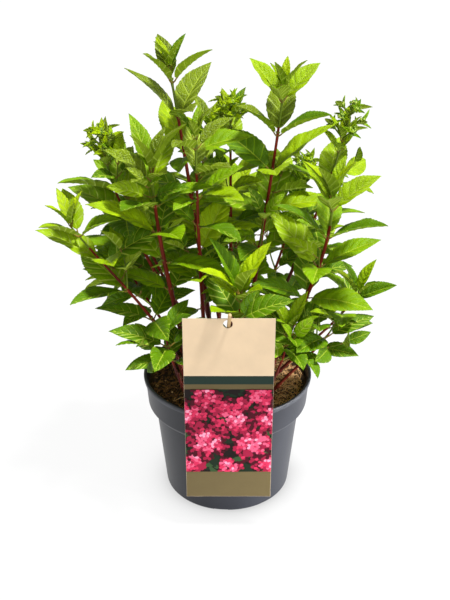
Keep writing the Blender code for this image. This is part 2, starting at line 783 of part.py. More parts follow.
def grow_plant(collection, solids):
    """Canes, leafy stems and buds first, then the leaves, each clear of all that stands already."""
    cane_material = make_material("cane_bark", *CANE_SURFACE)
    leaf_material = make_material("leaf", *LEAF_SURFACE)
    canes = [make_cane(shoot, collection, cane_material) for shoot in SHOOTS]
    stems = [make_leafy_stem(shoot, collection, leaf_material) for shoot in SHOOTS]
    extras = [new_collection(shoot.name + "_pieces") for shoot in SHOOTS]
    panicles = [make_panicle(shoot, extra) if shoot.buds else [] for shoot, extra in zip(SHOOTS, extras)]
    standing = [joined_tree([piece]) for piece in solids + canes]
    stem_trees = [joined_tree([stem, *panicle]) for stem, panicle in zip(stems, panicles)]
    for number, shoot in enumerate(SHOOTS):
        others = standing + stem_trees[:number] + stem_trees[number + 1:]
        leaves = make_leaves(shoot, shoot_leaves(shoot, number, others), extras[number])
        standing.append(joined_tree(leaves))
        fuse(stems[number], extras[number])


def build():
    clear_scene()
    collection = new_collection("panicle_hydrangea")
    cutters = new_collection("cutters")
    solids = [
        make_pot(collection, cutters),
        make_fill(collection),
        make_old_wood(collection),
        make_card(collection),
        make_stick(collection),
    ]
    grow_plant(collection, solids)


build()
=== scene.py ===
"""Looks of the potted panicle hydrangea: bark, stems, leaves, buds, pot, coir, card and stick.

Metres, +Z up, -Y towards the front. The shoots grow by the same rule as the solids, and the rule
is carried on to side twigs, petioles, veins and single buds within the same reach.
"""

import itertools
import json
import math
import random
from collections import namedtuple

import bmesh
import bpy
import numpy as np
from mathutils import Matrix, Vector, noise
from mathutils.bvhtree import BVHTree

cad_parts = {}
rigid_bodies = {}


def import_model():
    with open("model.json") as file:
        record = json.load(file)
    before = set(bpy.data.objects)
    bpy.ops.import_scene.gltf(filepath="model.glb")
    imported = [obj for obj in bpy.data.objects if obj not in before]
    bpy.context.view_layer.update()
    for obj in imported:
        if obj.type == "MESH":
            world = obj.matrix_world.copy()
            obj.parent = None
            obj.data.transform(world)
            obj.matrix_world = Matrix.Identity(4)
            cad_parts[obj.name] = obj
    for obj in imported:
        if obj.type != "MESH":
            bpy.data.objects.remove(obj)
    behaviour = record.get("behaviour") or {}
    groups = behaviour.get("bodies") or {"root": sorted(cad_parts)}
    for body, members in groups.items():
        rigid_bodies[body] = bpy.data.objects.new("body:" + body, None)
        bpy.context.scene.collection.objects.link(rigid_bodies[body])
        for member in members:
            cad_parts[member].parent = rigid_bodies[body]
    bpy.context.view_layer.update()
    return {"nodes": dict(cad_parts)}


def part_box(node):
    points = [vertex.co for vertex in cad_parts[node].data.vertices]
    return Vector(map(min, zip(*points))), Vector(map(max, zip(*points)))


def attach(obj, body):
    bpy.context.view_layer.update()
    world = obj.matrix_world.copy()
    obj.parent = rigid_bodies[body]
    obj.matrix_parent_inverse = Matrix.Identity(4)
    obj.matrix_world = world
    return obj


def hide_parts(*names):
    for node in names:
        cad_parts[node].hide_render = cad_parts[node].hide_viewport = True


Bark = namedtuple("Bark", "rows sides swell reach seed depth")
Finish = namedtuple("Finish", "roughness gloss drift relief upright cells", defaults=(1.0, False))
Leaf = namedtuple("Leaf", "root along normal length width bend")
LeafDetail = namedtuple("LeafDetail", "veins phases upper lower")
Look = namedtuple("Look", "colour vein fold twist wave waves phase")
Patch = namedtuple("Patch", "points quads quad_looks triangles triangle_looks")
Shoot = namedtuple("Shoot", "name foot tip sway bare nodes whorl turn leaf tuft buds", defaults=(0.0,))
Twig = namedtuple("Twig", "root along rise length")

GAP = 0.0003
SHARP_ANGLE = math.radians(62)

# Pot, as in the solids, with a finer lip
POT_HEIGHT = 0.144
POT_WALL = 0.0015
LIP_RADIUS = 0.095
LIP_DEPTH = 0.0055
LIP_INNER_EDGE = 0.0010
LIP_OUTER_EDGE = 0.0004
LIP_WIDEST = 0.4
LIP_UNDERCUT = 0.0006
BAND_TOP_RADIUS = 0.0927
BAND_FOOT_RADIUS = 0.0905
BAND_FOOT_Z = 0.109
BAND_BEVEL_UP = 0.0015
BAND_BEVEL_DOWN = 0.0014
BAND_BEVEL_IN = 0.0018
WALL_TOP_RADIUS = 0.082
WALL_TOP_Z = 0.1015
BASE_RADIUS = 0.0722
BASE_EDGE = 0.0025
FLOOR_TOP = 0.005
POT_STEPS = 144
POT_SHARP_ANGLE = math.radians(40)
CORNER_RADIUS = 0.0012
CORNER_MOST = 0.45
CORNER_STEPS = 4
DRAINS = 8
DRAIN_TURN = math.radians(39)
DRAIN_WIDTH = 0.016
DRAIN_DEPTH = 0.013
DRAIN_HEIGHT = 0.0025
DRAIN_PAST_EDGE = 0.004
DRAIN_HOLE_RADIUS = 0.0032
DRAIN_HOLE_FROM_AXIS = 0.0645
DRAIN_HOLE_SIDES = 24

# Fill: the bed's rings, and its bumps as their number per metre, seed and depth
FILL_TOP = 0.130
FILL_CLEARANCE = 0.0005
FILL_SHOULDER_RISE = 0.0002
FILL_SEED = 41
BED_FIRST_RING = 0.004
BED_RINGS = 90
BED_STEPS = 120
BED_BUMPS = ((55.0, 3.0, 0.0016), (260.0, 9.0, 0.0014), (700.0, 5.0, 0.0007))

# Fibres on the bed: the share of pale ones grows from left to right, as painted light on the lit right side
# and painted shade on the left
FIBRES = 4200
FIBRE_FROM_WALL = 0.005
FIBRE_END_FROM_WALL = 0.001
FIBRE_CURL = 0.8
FIBRE_LENGTH = (0.004, 0.016)
FIBRE_HUMP = (0.0002, 0.0030)
FIBRE_LIFT = 0.0003
FIBRE_PARTS = 4
FIBRE_RADIUS = (0.00018, 0.00050)
FIBRE_SIDES = 4
PAINTED_LIGHT_PALE_SHARE = (-0.15, 0.80)
CRUMBS = 520
CRUMB_FROM_WALL = 0.004
CRUMB_LOOKS = (0, 1, 1, 2)
CRUMB_SIZE = (0.0008, 0.0026)
CRUMB_ROUGHNESS = (0.6, 1.25)
CRUMB_LIFT = 0.0002

# Old wood: each ring's radius, and its height above the foot, as shares of the wood's own
WOOD_PLACE = (0.0, 0.012)
WOOD_HEIGHT = 0.030
WOOD_FLARE_RADIUS = 0.012
WOOD_RADIUS = 0.0075
WOOD_SWELL = (1.08, 0.3)
WOOD_WAIST = (0.93, 0.6)
WOOD_CUT_SHARE = 0.80
WOOD_EDGE = 0.003
WOOD_CROWN = 0.0008
WOOD_BARK = Bark(40, 36, 0.0, 0.0, 77.0, 0.20)

# Picture card and the stick that it hangs on
CARD_WIDTH = 0.0902
CARD_LENGTH = 0.2223
CARD_THICKNESS = 0.0007
CARD_TOP = (0.001, -0.1096, 0.2656)
CARD_LEAN = math.radians(2.7)
CARD_UP = Vector((0.0, -math.sin(CARD_LEAN), math.cos(CARD_LEAN)))
CARD_FRONT = Vector((0.0, -math.cos(CARD_LEAN), -math.sin(CARD_LEAN)))
CARD_HOLE_RADIUS = 0.0047
CARD_HOLE_DROP = 0.0062
STICK_FOOT = (-0.006, -0.020)
STICK_RADIUS = 0.0018
STICK_BEYOND_CARD = 0.018
STICK_END = 0.0004
STICK_PARTS = 40
STICK_SHARES = (0.985, 0.95, 0.7)
STICK_GRAIN = Bark(42, 18, 0.0, 0.0, 31.0, 0.015)

# Print on the card: places are metres down from its top edge
CARD_EDGE = 0.0002
GREEN_TOP = 0.066
OLIVE_TOP = 0.076
FLOWERS_TOP = 0.082
FLOWERS_FOOT = 0.188
PRINT_PROUD = 0.00004
PRINT_HOLE_SHARE = 1.04
PRINT_HOLE_STEPS = 40
CREAM, GREEN, TAN, DARK = range(4)
PRINT_COLOURS = (
    ("print_cream", (239, 212, 176)),
    ("print_green", (34, 52, 44)),
    ("print_olive", (104, 91, 60)),
    ("print_dark", (24, 16, 14)),
)
CARD_STOCK = ("card_stock", (226, 206, 176))

# Flowers on the print: round heads by middle and radius, leaves between them, petals in florets
PETAL_DARK, PETAL_DEEP, PETAL_ROSE, PETAL_PINK, PETAL_PALE, PETAL_LEAF, PETAL_SHADE = range(7)
PETAL_COLOURS = (
    ("petal_dark", (72, 8, 26)),
    ("petal_deep", (158, 26, 62)),
    ("petal_rose", (208, 46, 86)),
    ("petal_pink", (226, 92, 128)),
    ("petal_pale", (242, 160, 188)),
    ("petal_leaf", (50, 78, 44)),
    ("petal_shade", (22, 40, 24)),
)
HEADS = (
    (0.040, 0.178, 0.015), (-0.038, 0.176, 0.016), (0.002, 0.182, 0.013), (0.026, 0.152, 0.022),
    (-0.022, 0.148, 0.024), (0.042, 0.118, 0.018), (-0.040, 0.114, 0.019), (0.004, 0.116, 0.025),
    (-0.024, 0.092, 0.016), (0.030, 0.091, 0.016),
)
HEAD_LIGHT_UP = 0.3
FLOWERS_SEED = 23
FLOWERS_PROUD = 0.00008
FLOWERS_LAYER = 0.0000005
PRINT_LEAVES = 90
PRINT_LEAF = (0.020, 0.008)
PRINT_LEAF_LOOKS = (PETAL_LEAF, PETAL_SHADE, PETAL_SHADE)
PETAL_STEPS = 10
PETAL_WAIST = (0.6, 0.4)
PETAL_WIDTH = 0.95
PETAL_LOOSE_TURN = 0.15
PETAL_LENGTHS = (0.85, 1.1)
FLORET_PETALS = 4
FLORET_SPACING = 0.78
FLORETS_LEAST = 3
FLORET_TRIES = 40
# Layers of florets in a head: share of its radius, size, their number per square centimetre, colours
FLORET_LAYERS = (
    (1.00, 0.0052, 1.7, (PETAL_DARK, PETAL_DARK, PETAL_DEEP)),
    (0.88, 0.0048, 1.7, (PETAL_DARK, PETAL_DEEP, PETAL_DEEP, PETAL_ROSE)),
    (0.70, 0.0046, 1.8, (PETAL_DEEP, PETAL_ROSE, PETAL_ROSE, PETAL_PINK)),
    (0.50, 0.0040, 2.0, (PETAL_ROSE, PETAL_PINK, PETAL_PINK, PETAL_PALE)),
)

# Canes and leaves, as in the solids
FOOT_RADIUS_LEAST = 0.0016
FOOT_RADIUS_PER_METRE = 0.0040
TIP_SHARE_OF_RADIUS = 0.38
RISES = (0.34, 0.69)
SLOPE_STEP = 0.01
FIRST_NODE = 0.35
LAST_NODE = 0.55
NODE_CROWDING = 1.12
PETIOLE = 0.0075
ROOT_DEPTH = 0.0012
PETIOLE_RADIUS = 0.0013
BLADE_SHARE = 0.50
BLADE_THICKNESS = 0.0012
BLADE_PEAK = (0.72, 1.06)
LEAF_SECTIONS = (0.27, 0.63)
SMALL_LEAF = 0.034
SMALL_LEAF_SECTIONS = (0.38,)
LEAF_FOLD = math.radians(24)
LIGHT_DIRECTION = (0.0, -0.25, 1.0)
LIGHT_PULL = 0.9
ANGLE_FROM_AXIS = (math.radians(70), math.radians(42))
LEAF_BEND = (math.radians(24), math.radians(18))
SIZE_BY_HEIGHT = (0.84, 0.98, 1.04, 0.96, 0.74)
BRACT_SHARE = 0.55
TIP_NODE = 0.985
TIP_LEAVES = 4
TIP_LEAF_LOOSE_TURN = 15.0
TIP_LEAF_SPREAD = (0.6, 1.5)
TIP_LEAF_SIZES = (0.70, 1.15)
TIP_LEAF_SLIM = 0.76
TIP_LEAF_ANGLE = math.radians(19)
TIP_LEAF_BEND = math.radians(22)
LOOSE_TURN = 9.0
LOOSE_TILT = 10.0
LOOSE_ROLL = 16.0
LOOSE_SIZE = 0.10
LOOSE_BEND = 0.3
CLEARANCE = 0.0006
ROOM_CELL = 0.03
FIRST_SEED = 100
TRY_SIZES = (1.0, 0.84, 0.68)
TRY_TILTS = (0.0, 14.0, -14.0)
TRY_TURNS = (0.0, 15.0, -15.0, 30.0, -30.0)
PANICLE_LENGTH = 0.038
PANICLE_TIERS = 3
PANICLE_TWIGS = 3
PANICLE_REACH = 0.017
PANICLE_TAPER = 0.55
PANICLE_RISE = 0.75
PANICLE_ROOT = 0.004
SHOOTS = tuple(Shoot(*row) for row in (
    ("front_left", (-0.034, -0.022), (-0.075, -0.030, 0.388), (0.45, 0.95), 0.43, 5, 3, 180, 0.066, 0.90),
    ("outer_right", (0.036, -0.022), (0.103, -0.040, 0.362), (0.40, 1.05), 0.30, 5, 3, 20, 0.066, 0.80),
    ("tall_left", (-0.012, -0.010), (-0.058, 0.020, 0.478), (0.24, 0.60), 0.32, 6, 3, 170, 0.066, 0.55),
    ("tall_right", (0.016, -0.004), (0.056, 0.020, 0.458), (0.22, 0.75), 0.30, 6, 3, 200, 0.067, 0.50),
    ("front_centre", (0.010, -0.044), (0.012, -0.074, 0.275), (0.20, 0.80), 0.34, 4, 3, 250, 0.058, 0.95),
    ("bud_left", (-0.026, 0.014), (-0.128, 0.030, 0.386), (0.25, 0.90), 0.42, 5, 3, 150, 0.066, 0.50, 0.8),
    ("bud_right", (0.024, 0.014), (0.122, 0.048, 0.398), (0.32, 0.80), 0.60, 3, 3, 20, 0.062, 0.50, 1.0),
    ("low_left", (-0.046, -0.036), (-0.160, -0.030, 0.331), (-0.05, 0.62), 0.40, 4, 3, 170, 0.066, 0.50),
    ("inner_left", (-0.022, -0.002), (-0.031, -0.030, 0.420), (0.60, 1.00), 0.30, 7, 2, 215, 0.060, 0.55),
    ("inner_back", (0.004, 0.034), (0.003, 0.050, 0.418), (0.30, 0.80), 0.34, 7, 2, 0, 0.060, 0.50, 0.6),
    ("low_right", (0.048, -0.004), (0.138, -0.020, 0.248), (0.30, 0.80), 0.56, 3, 2, -10, 0.054, 0.80),
    ("low_right_front", (0.046, -0.034), (0.112, -0.052, 0.232), (0.30, 0.85), 0.60, 3, 2, -40, 0.050, 0.80),
    ("rim_left", (-0.040, -0.054), (-0.064, -0.070, 0.234), (0.40, 0.95), 0.54, 3, 3, 200, 0.050, 0.80),
    ("rim_right", (0.036, -0.054), (0.062, -0.074, 0.232), (0.40, 0.95), 0.58, 3, 2, 10, 0.046, 0.80),
    ("back_centre", (-0.008, 0.042), (-0.018, 0.104, 0.392), (0.30, 0.80), 0.42, 5, 3, 80, 0.064, 0.60),
    ("back_right", (0.020, 0.038), (0.086, 0.110, 0.330), (0.30, 0.80), 0.46, 5, 3, 30, 0.056, 0.50, 0.8),
    ("back_left", (-0.026, 0.036), (-0.120, 0.090, 0.335), (0.30, 0.80), 0.42, 5, 3, 140, 0.062, 0.60),
    ("back_low", (0.006, 0.058), (0.012, 0.158, 0.300), (0.20, 0.90), 0.42, 4, 3, 90, 0.062, 0.60),
    ("back_low_right", (0.036, 0.032), (0.102, 0.112, 0.262), (0.20, 0.90), 0.45, 4, 3, 50, 0.056, 0.60),
    ("back_low_left", (-0.042, 0.022), (-0.128, 0.104, 0.248), (0.20, 0.90), 0.45, 4, 3, 120, 0.060, 0.60),
))

# Side twigs: what the rule adds in the leaf axils
SIDE_SEED = 500
SIDE_CHANCE = 0.16
SIDE_TOP = 0.350
SIDE_ABOVE_NODE = 0.008
SIDE_LOOSE_TURN = 25.0
SIDE_LENGTH = (0.032, 0.018)
SIDE_LENGTH_SHARES = (0.75, 1.2)
SIDE_ANGLE = math.radians(44)
SIDE_RISE = 0.30
SIDE_RADIUS = (0.0011, 0.0006)
SIDE_PARTS = 5
SIDE_LEAF = (0.046, 0.034)
SIDE_LEAF_AGE = 0.9
SIDE_LEAF_OLDER = 0.3
SIDE_LEAF_ANGLE = math.radians(58)
SIDE_LEAF_BEND = math.radians(24)
SIDE_PAIR_AT = 0.55
SIDE_PAIR_SIZES = (0.8, 1.1)
SIDE_TIP_ANGLE = math.radians(26)
SIDE_TIP_LEAVES = 3
SIDE_TIP_LOOSE_TURN = 20.0
SIDE_TIP_SIZES = (0.55, 0.85)
REACH_SPARE = 0.004
TWIG_SIDES = 6

# Stretches of the two stout front canes that stay in view: no leaf stands in the strip before them
STOUT_CANES = ("front_left", "outer_right")
STOUT_SHARE = 1.32
OPEN_STRETCHES = (("front_left", 0.42, 0.70), ("outer_right", 0.47, 0.56), ("outer_right", 0.70, 0.84))
OPEN_TOWARDS = (0.06, -0.91, 0.41)
OPEN_STRIP = (0.006, 0.150)
OPEN_STEPS = 12

# Detail of a leaf blade: columns are shares of the half width, right to left on the underside
LARGE_DETAIL = LeafDetail(
    7, (0.0, 0.14, 0.38, 0.62, 0.86),
    (-1.0, -0.74, -0.46, -0.20, -0.035, 0.035, 0.20, 0.46, 0.74, 1.0),
    (0.62, 0.20, 0.05, -0.05, -0.20, -0.62))
SMALL_DETAIL = LeafDetail(
    5, (0.0, 0.2, 0.5, 0.8),
    (-1.0, -0.55, -0.05, 0.05, 0.55, 1.0),
    (0.45, 0.06, -0.06, -0.45))
DETAIL_LIMIT = 0.036
DETAIL_LENGTH = 0.06
BLADE_ENDS = (0.012, 0.990)
BLADE_SKIN = 0.00030
VEIN_SWEEP = 0.24
VEIN_CURVE = 1.15
QUILT = 0.0014
QUILT_BELOW = 0.4
PUFF_ROUND = 0.6
PUFF_ACROSS = 0.7
TOOTH = 0.00055
TOOTH_OUT = 1.4
TOOTH_IN = 0.4
RIB_DEPTH = 0.00055
RIB_REACH = 0.1
RIB_TAPER = 0.8
EDGE_UNFOLDS = 0.30
BLADE_FOLDS = (0.75 * LEAF_FOLD, math.radians(40))
FOLD_SHARES = (0.75, 1.2)
TWIST = 0.20
WAVE = 0.0011
WAVE_SHARES = (0.3, 1.0)
WAVES = (1.4, 2.8)
WAVE_SIDES_APART = 0.3
PETIOLE_RADII = (0.0013, 0.0008, 0.0007, 0.0004)
PETIOLE_FULL_AT = 0.05
PETIOLE_SAG_AT = 0.55
PETIOLE_SAG = 0.0006
PETIOLE_END_AT = 0.06
PETIOLE_END_UNDER = 0.0003

# Bark: rows, sides, swelling at a node and its reach, step of the seed, depth of the relief
CANE_BARK = Bark(64, 14, 0.24, 0.010, 7.0, 0.16)
STEM_BARK = Bark(56, 10, 0.30, 0.007, 3.0, 0.07)
OLD_NODES = (0.22, 0.50, 0.78)
RIDGES_ROUND = 1.6
RIDGES_ALONG = 0.05
WARTS_ROUND = 4.0
WARTS_ALONG = 0.6
WART_SHARE = 0.8
WART_LEAST = 0.15
RED_SHARE = 0.86
STUB_ANGLE = math.radians(42)
STUB_ROOT = 0.55
STUB_PLACES = (0.0, 0.35, 0.75, 1.0)
STUB_RADII = (0.42, 0.42, 0.26, 0.05)
CANE_STUB = 0.0028
STEM_STUB = 0.0026
STEM_STUB_ABOVE = 0.010
STEM_STUB_LAST = 0.99

# Panicles: knots of buds on forks at the ends of their twigs, with bracts under each knot
PANICLE_SEED = 900
PANICLE_ROOM_AT = 0.72
PANICLE_ROOM_RADII = (0.0005, 0.0036, 0.0005)
STALK_RADII = (0.0012, 0.0010, 0.0008)
KNOT_RADIUS = 0.0042
KNOT_FORKS = 9
KNOT_RISE = 0.9
FORK_TURN = 2.4
FORK_ROOTS = (0.95, 0.60)
FORK_LENGTHS = (0.7, 1.1)
FORK_RADII = (0.0005, 0.0004, 0.0004)
FORK_SIDES = 5
FORK_BUDS = 3
BUD_SPREAD = 0.0007
BUD_RADIUS = (0.0007, 0.0012)
BUD_RINGS = 5
BUD_SIDES = 7
KNOT_BRACTS = 4
BRACT_PLACES = (0.55, 0.85)
BRACT_TURN = 137.5
BRACT_TWIG_TURN = 60.0
BRACT_ANGLES = (0.4, 0.9)
BRACT_LENGTH = (0.011, 0.019)
BRACT_SLIM = 0.75
BRACT_BEND = math.radians(22)
BRACT_WAVE = 0.0002

# Colours, as they look in flat white light
LIME, BRIGHT, MIDDLE, DEEP, OLIVE, MIDRIB, UNDERSIDE, VEIN = range(8)
LEAF_COLOURS = (
    ("leaf_lime", (190, 218, 8)),
    ("leaf_bright", (164, 198, 6)),
    ("leaf_middle", (136, 178, 4)),
    ("leaf_deep", (100, 142, 4)),
    ("leaf_olive", (138, 162, 6)),
    ("leaf_midrib", (190, 212, 62)),
    ("leaf_underside", (144, 170, 34)),
    ("leaf_vein", (182, 205, 74)),
)
RED_STEM, GREEN_STEM, PETIOLE_LOOK = range(3)
STEM_COLOURS = (
    ("stem_red", (136, 36, 14)),
    ("stem_green", (128, 150, 44)),
    ("petiole", (156, 130, 56)),
)
LEAF_SECOND = 0.84
STEM_SECOND = 0.72
PAPER_SECOND = 0.95

# Which colour a leaf has: by age, then deeper where the crown is in shade, and olive near its top
LOOK_SEED = 700
YOUNGEST_LIME = 0.75
BRIGHT_SHARE = 0.20
BRIGHT_MORE_YOUNG = 0.45
DEEP_FROM = 0.80
SHADED_BELOW = 0.235
SHADED_LEFT = (-0.050, 0.275)
SHADED_RIGHT = 0.055
SHADED_SHARE = 0.5
OLIVE_ABOVE = 0.375
OLIVE_SHARE = 0.5
PALE_VEINED = 0.55
TIP_LEAF_AGE = 1.2
OLD_PANICLE = 0.9
OLD_BRACTS = (BRIGHT, MIDDLE, MIDDLE, DEEP)
YOUNG_BRACTS = (LIME, LIME, BRIGHT)

# Finishes: drift and relief are each a number per metre and a strength; upright is its share along Z
DRIFT_DETAIL = 4.0
DRIFT_RANGE = (0.32, 0.68)
BARK_FINISH = Finish(0.55, 0.25, (110.0, 1.0), (700.0, 0.00030), 0.22)
STEM_FINISH = Finish(0.50, 0.20, (160.0, 0.9), (1400.0, 0.00008), 0.25)
BUD_FINISH = Finish(0.50, 0.50, (300.0, 0.9), (900.0, 0.00010))
PLASTIC_FINISH = Finish(0.42, 0.35, (24.0, 0.8), (1500.0, 0.00004))
LIP_FINISH = Finish(0.50, 0.30, (60.0, 0.9), (1500.0, 0.00004))
COIR_FINISH = Finish(0.95, 0.50, (420.0, 1.0), (900.0, 0.00060))
FIBRE_FINISH = Finish(0.90, 0.50, (300.0, 0.9), (900.0, 0.00010))
OLD_WOOD_FINISH = Finish(0.90, 0.50, (160.0, 1.0), (500.0, 0.00080), 0.30)
STICK_FINISH = Finish(0.60, 0.50, (90.0, 0.9), (900.0, 0.00008), 0.15)
PAPER_FINISH = Finish(0.38, 0.15, (60.0, 0.6), (2500.0, 0.00001))
LEAF_FINISH = Finish(0.42, 0.20, (70.0, 0.8), (800.0, 0.00055), 1.0, True)
LEAF_FINISHES = {
    "leaf_olive": LEAF_FINISH._replace(roughness=0.36, gloss=0.50, relief=(800.0, 0.00110)),
    "leaf_underside": LEAF_FINISH._replace(roughness=0.62, gloss=0.16, relief=(800.0, 0.00030)),
    "leaf_vein": LEAF_FINISH._replace(roughness=0.40, gloss=0.30, relief=(800.0, 0.00010)),
}

# Surfaces: name, the two colours that it drifts between, finish
CANE_SURFACE = ("cane_bark", (118, 34, 16), (58, 18, 10), BARK_FINISH)
BUD_SURFACES = (
    ("bud_lime", (190, 208, 84), (160, 186, 60), BUD_FINISH),
    ("bud_green", (128, 164, 50), (96, 140, 40), BUD_FINISH),
)
POT_SURFACES = (
    ("pot_plastic", (40, 42, 50), (34, 36, 43), PLASTIC_FINISH),
    # the lip's lighter grey is a painted highlight, light from above painted into its colour
    ("pot_lip_painted_highlight", (78, 80, 87), (60, 62, 69), LIP_FINISH),
)
COIR_SURFACE = ("coir", (84, 56, 30), (36, 23, 13), COIR_FINISH)
FIBRE_SURFACES = (
    ("fibre_pale", (255, 212, 156), (216, 164, 106), FIBRE_FINISH),
    ("fibre_brown", (164, 116, 66), (112, 74, 40), FIBRE_FINISH),
    ("fibre_dark", (66, 42, 26), (38, 24, 15), FIBRE_FINISH),
)
WOOD_SURFACE = ("old_wood", (104, 78, 60), (58, 40, 32), OLD_WOOD_FINISH)
STICK_SURFACE = ("stick_wood", (214, 184, 134), (186, 150, 100), STICK_FINISH)

# Stage and lights: each lamp's name, kind, watts, size in metres or cone angle, place and what it points at
FLOOR_SIZE = 12.0
FLOOR_DROP = 0.0002
FLOOR_GREY = 0.06
FLOOR_GLOW = 0.95
FOOT_SHADE = 0.34
FOOT_SHADE_REACH = 0.013
WORLD_STRENGTH = 0.25
SUN_ENERGY = 4.25
SUN_ANGLE = math.radians(9.0)
SUN_TILT = (math.radians(8.0), math.radians(16.0), 0.0)
LAMPS = (
    ("side_fill", "AREA", 17.0, 1.4, (2.0, -0.8, 0.4), (0.0, 0.0, 0.2)),
    ("front_fill", "AREA", 8.0, 1.0, (0.4, -1.8, 0.8), (0.02, 0.0, 0.12)),
    ("pot_sheen", "SPOT", 100.0, math.radians(16.0), (1.0, -0.45, 0.10), (0.02, 0.0, 0.05)),
)
SPOT_BLEND = 0.6
SPOT_RADIUS = 0.05

# Camera, worked out from the pot's outline and the card's perspective in the photograph
CAMERA_PLACE = (-0.0028, -0.8432, 0.6439)
CAMERA_DOWN = 0.4546
CAMERA_LENS = 51.56
CAMERA_SENSOR = 36.0


# Meshes

def mix(low, high, share):
    return low + (high - low) * share


def around(count):
    """Evenly spaced turns round a circle."""
    return np.arange(count) * (2.0 * math.pi / count)


def closed_skin(rings, looks):
    """A closed patch through rings of points, with a fan over each end."""
    rows, columns, _ = rings.shape
    points = np.concatenate([rings.reshape(-1, 3), rings[0].mean(0)[None], rings[-1].mean(0)[None]])
    base = np.arange((rows - 1) * columns).reshape(rows - 1, columns)
    following = np.roll(base, -1, axis=1)
    quads = np.stack([base, following, following + columns, base + columns], axis=-1).reshape(-1, 4)
    ring = np.arange(columns)
    after = np.roll(ring, -1)
    first = np.stack([np.full(columns, rows * columns), after, ring], axis=-1)
    end = (rows - 1) * columns
    last = np.stack([np.full(columns, rows * columns + 1), ring + end, after + end], axis=-1)
    quad_looks = np.broadcast_to(looks, (rows - 1, columns)).reshape(-1)
    fan_looks = np.concatenate([quad_looks[:columns], quad_looks[-columns:]])
    return Patch(points, quads, quad_looks, np.concatenate([first, last]), fan_looks)


def tube_rings(points, radii, sides, relief=None):
    """Rings round a line; relief gives the share that each ring's corners stand out by."""
    points = [Vector(point) for point in points]
    turns = around(sides)
    across = (points[1] - points[0]).orthogonal().normalized()
    rings = []
    for index, point in enumerate(points):
        ahead = points[min(index + 1, len(points) - 1)]
        behind = points[max(index - 1, 0)]
        along = (ahead - behind).normalized()
        across = (across - along * across.dot(along)).normalized()
        beside = along.cross(across)
        swell = radii[index] * (1.0 if relief is None else 1.0 + relief[index])
        ring = np.outer(np.cos(turns) * swell, across) + np.outer(np.sin(turns) * swell, beside)
        rings.append(ring + np.array(point))
    return np.array(rings)[:, ::-1]


def tube_patch(points, radii, sides, look=0, relief=None):
    return closed_skin(tube_rings(points, radii, sides, relief), look)


def turned_rings(profile, columns):
    """Rings round the upright axis, one for each radius and height."""
    turns = around(columns)
    cosines, sines = np.cos(turns), np.sin(turns)
    return np.array([np.stack([cosines * radius, sines * radius, np.full(columns, height)], axis=-1)
                     for radius, height in profile])


def new_object(name, data):
    item = bpy.data.objects.new(name, data)
    bpy.context.scene.collection.objects.link(item)
    return item


def soften(mesh, angle):
    mesh.shade_smooth()
    mesh.set_sharp_from_angle(angle=angle)


def new_piece(name, points, faces, looks, materials, replaced=()):
    """A piece that rides on the plant's body; looks gives each face's material."""
    mesh = bpy.data.meshes.new(name)
    mesh.from_pydata(points, [], faces)
    for material in materials:
        mesh.materials.append(material)
    mesh.polygons.foreach_set("material_index", looks)
    piece = new_object(name, mesh)
    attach(piece, "root")
    if replaced:
        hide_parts(*replaced)
    return piece


def make_piece(name, patches, materials, replaced=()):
    """One smooth piece of many patches."""
    offsets = np.cumsum([0] + [len(patch.points) for patch in patches])
    points = np.concatenate([patch.points for patch in patches])
    quads = np.concatenate([patch.quads + offset for patch, offset in zip(patches, offsets)])
    triangles = np.concatenate([patch.triangles + offset for patch, offset in zip(patches, offsets)])
    looks = [patch.quad_looks for patch in patches] + [patch.triangle_looks for patch in patches]
    piece = new_piece(name, points, quads.tolist() + triangles.tolist(),
                      np.concatenate(looks).astype(np.int32), materials, replaced)
    soften(piece.data, SHARP_ANGLE)
    piece.data.update()
    return piece


# Materials

def linear(colour):
    """Opaque scene-linear colour of an eight-bit display colour."""
    shares = (value / 255.0 for value in colour)
    parts = (share / 12.92 if share <= 0.04045 else ((share + 0.055) / 1.055) ** 2.4 for share in shares)
    return (*parts, 1.0)


def shifted(colour, share):
    return tuple(min(255.0, value * share) for value in colour)


def set_sockets(tree, node, sockets):
    """Sets each socket of a node to its value, or feeds it from the socket that stands for one."""
    for name, value in sockets.items():
        if isinstance(value, bpy.types.NodeSocket):
            tree.links.new(value, node.inputs[name])
        else:
            node.inputs[name].default_value = value


def add_node(tree, kind, sockets, **traits):
    node = tree.nodes.new("ShaderNode" + kind)
    for trait, value in traits.items():
        setattr(node, trait, value)
    set_sockets(tree, node, sockets)
    return node


def new_material(name):
    """A material with its node tree and its Principled shader."""
    material = bpy.data.materials.new(name)
    material.use_nodes = True
    return material, material.node_tree, material.node_tree.nodes["Principled BSDF"]


def surface(name, colour, second, finish):
    """A surface that drifts between two colours, with a fine relief."""
    material, tree, shader = new_material(name)
    place = add_node(tree, "TexCoord", {}).outputs["Object"]
    scale = (1.0, 1.0, finish.upright)
    stretched = add_node(tree, "Mapping", {"Vector": place, "Scale": scale}).outputs["Vector"]
    number, most = finish.drift
    drift = add_node(tree, "TexNoise", {"Vector": stretched, "Scale": number, "Detail": DRIFT_DETAIL})
    ramp = add_node(tree, "MapRange", {"Value": drift.outputs["Fac"], "From Min": DRIFT_RANGE[0],
                                       "From Max": DRIFT_RANGE[1], "To Max": most})
    blend = add_node(tree, "Mix", {"Factor": ramp.outputs["Result"], "A": linear(colour),
                                   "B": linear(second)}, data_type="RGBA")
    number, depth = finish.relief
    kind, output = ("TexVoronoi", "Distance") if finish.cells else ("TexNoise", "Fac")
    relief = add_node(tree, kind, {"Vector": stretched, "Scale": number})
    bump = add_node(tree, "Bump", {"Height": relief.outputs[output], "Strength": 1.0, "Distance": depth})
    set_sockets(tree, shader, {"Roughness": finish.roughness, "Specular IOR Level": finish.gloss,
                               "Base Color": blend.outputs["Result"], "Normal": bump.outputs["Normal"]})
    return material


def leaf_materials():
    return [surface(name, colour, shifted(colour, LEAF_SECOND), LEAF_FINISHES.get(name, LEAF_FINISH))
            for name, colour in LEAF_COLOURS]


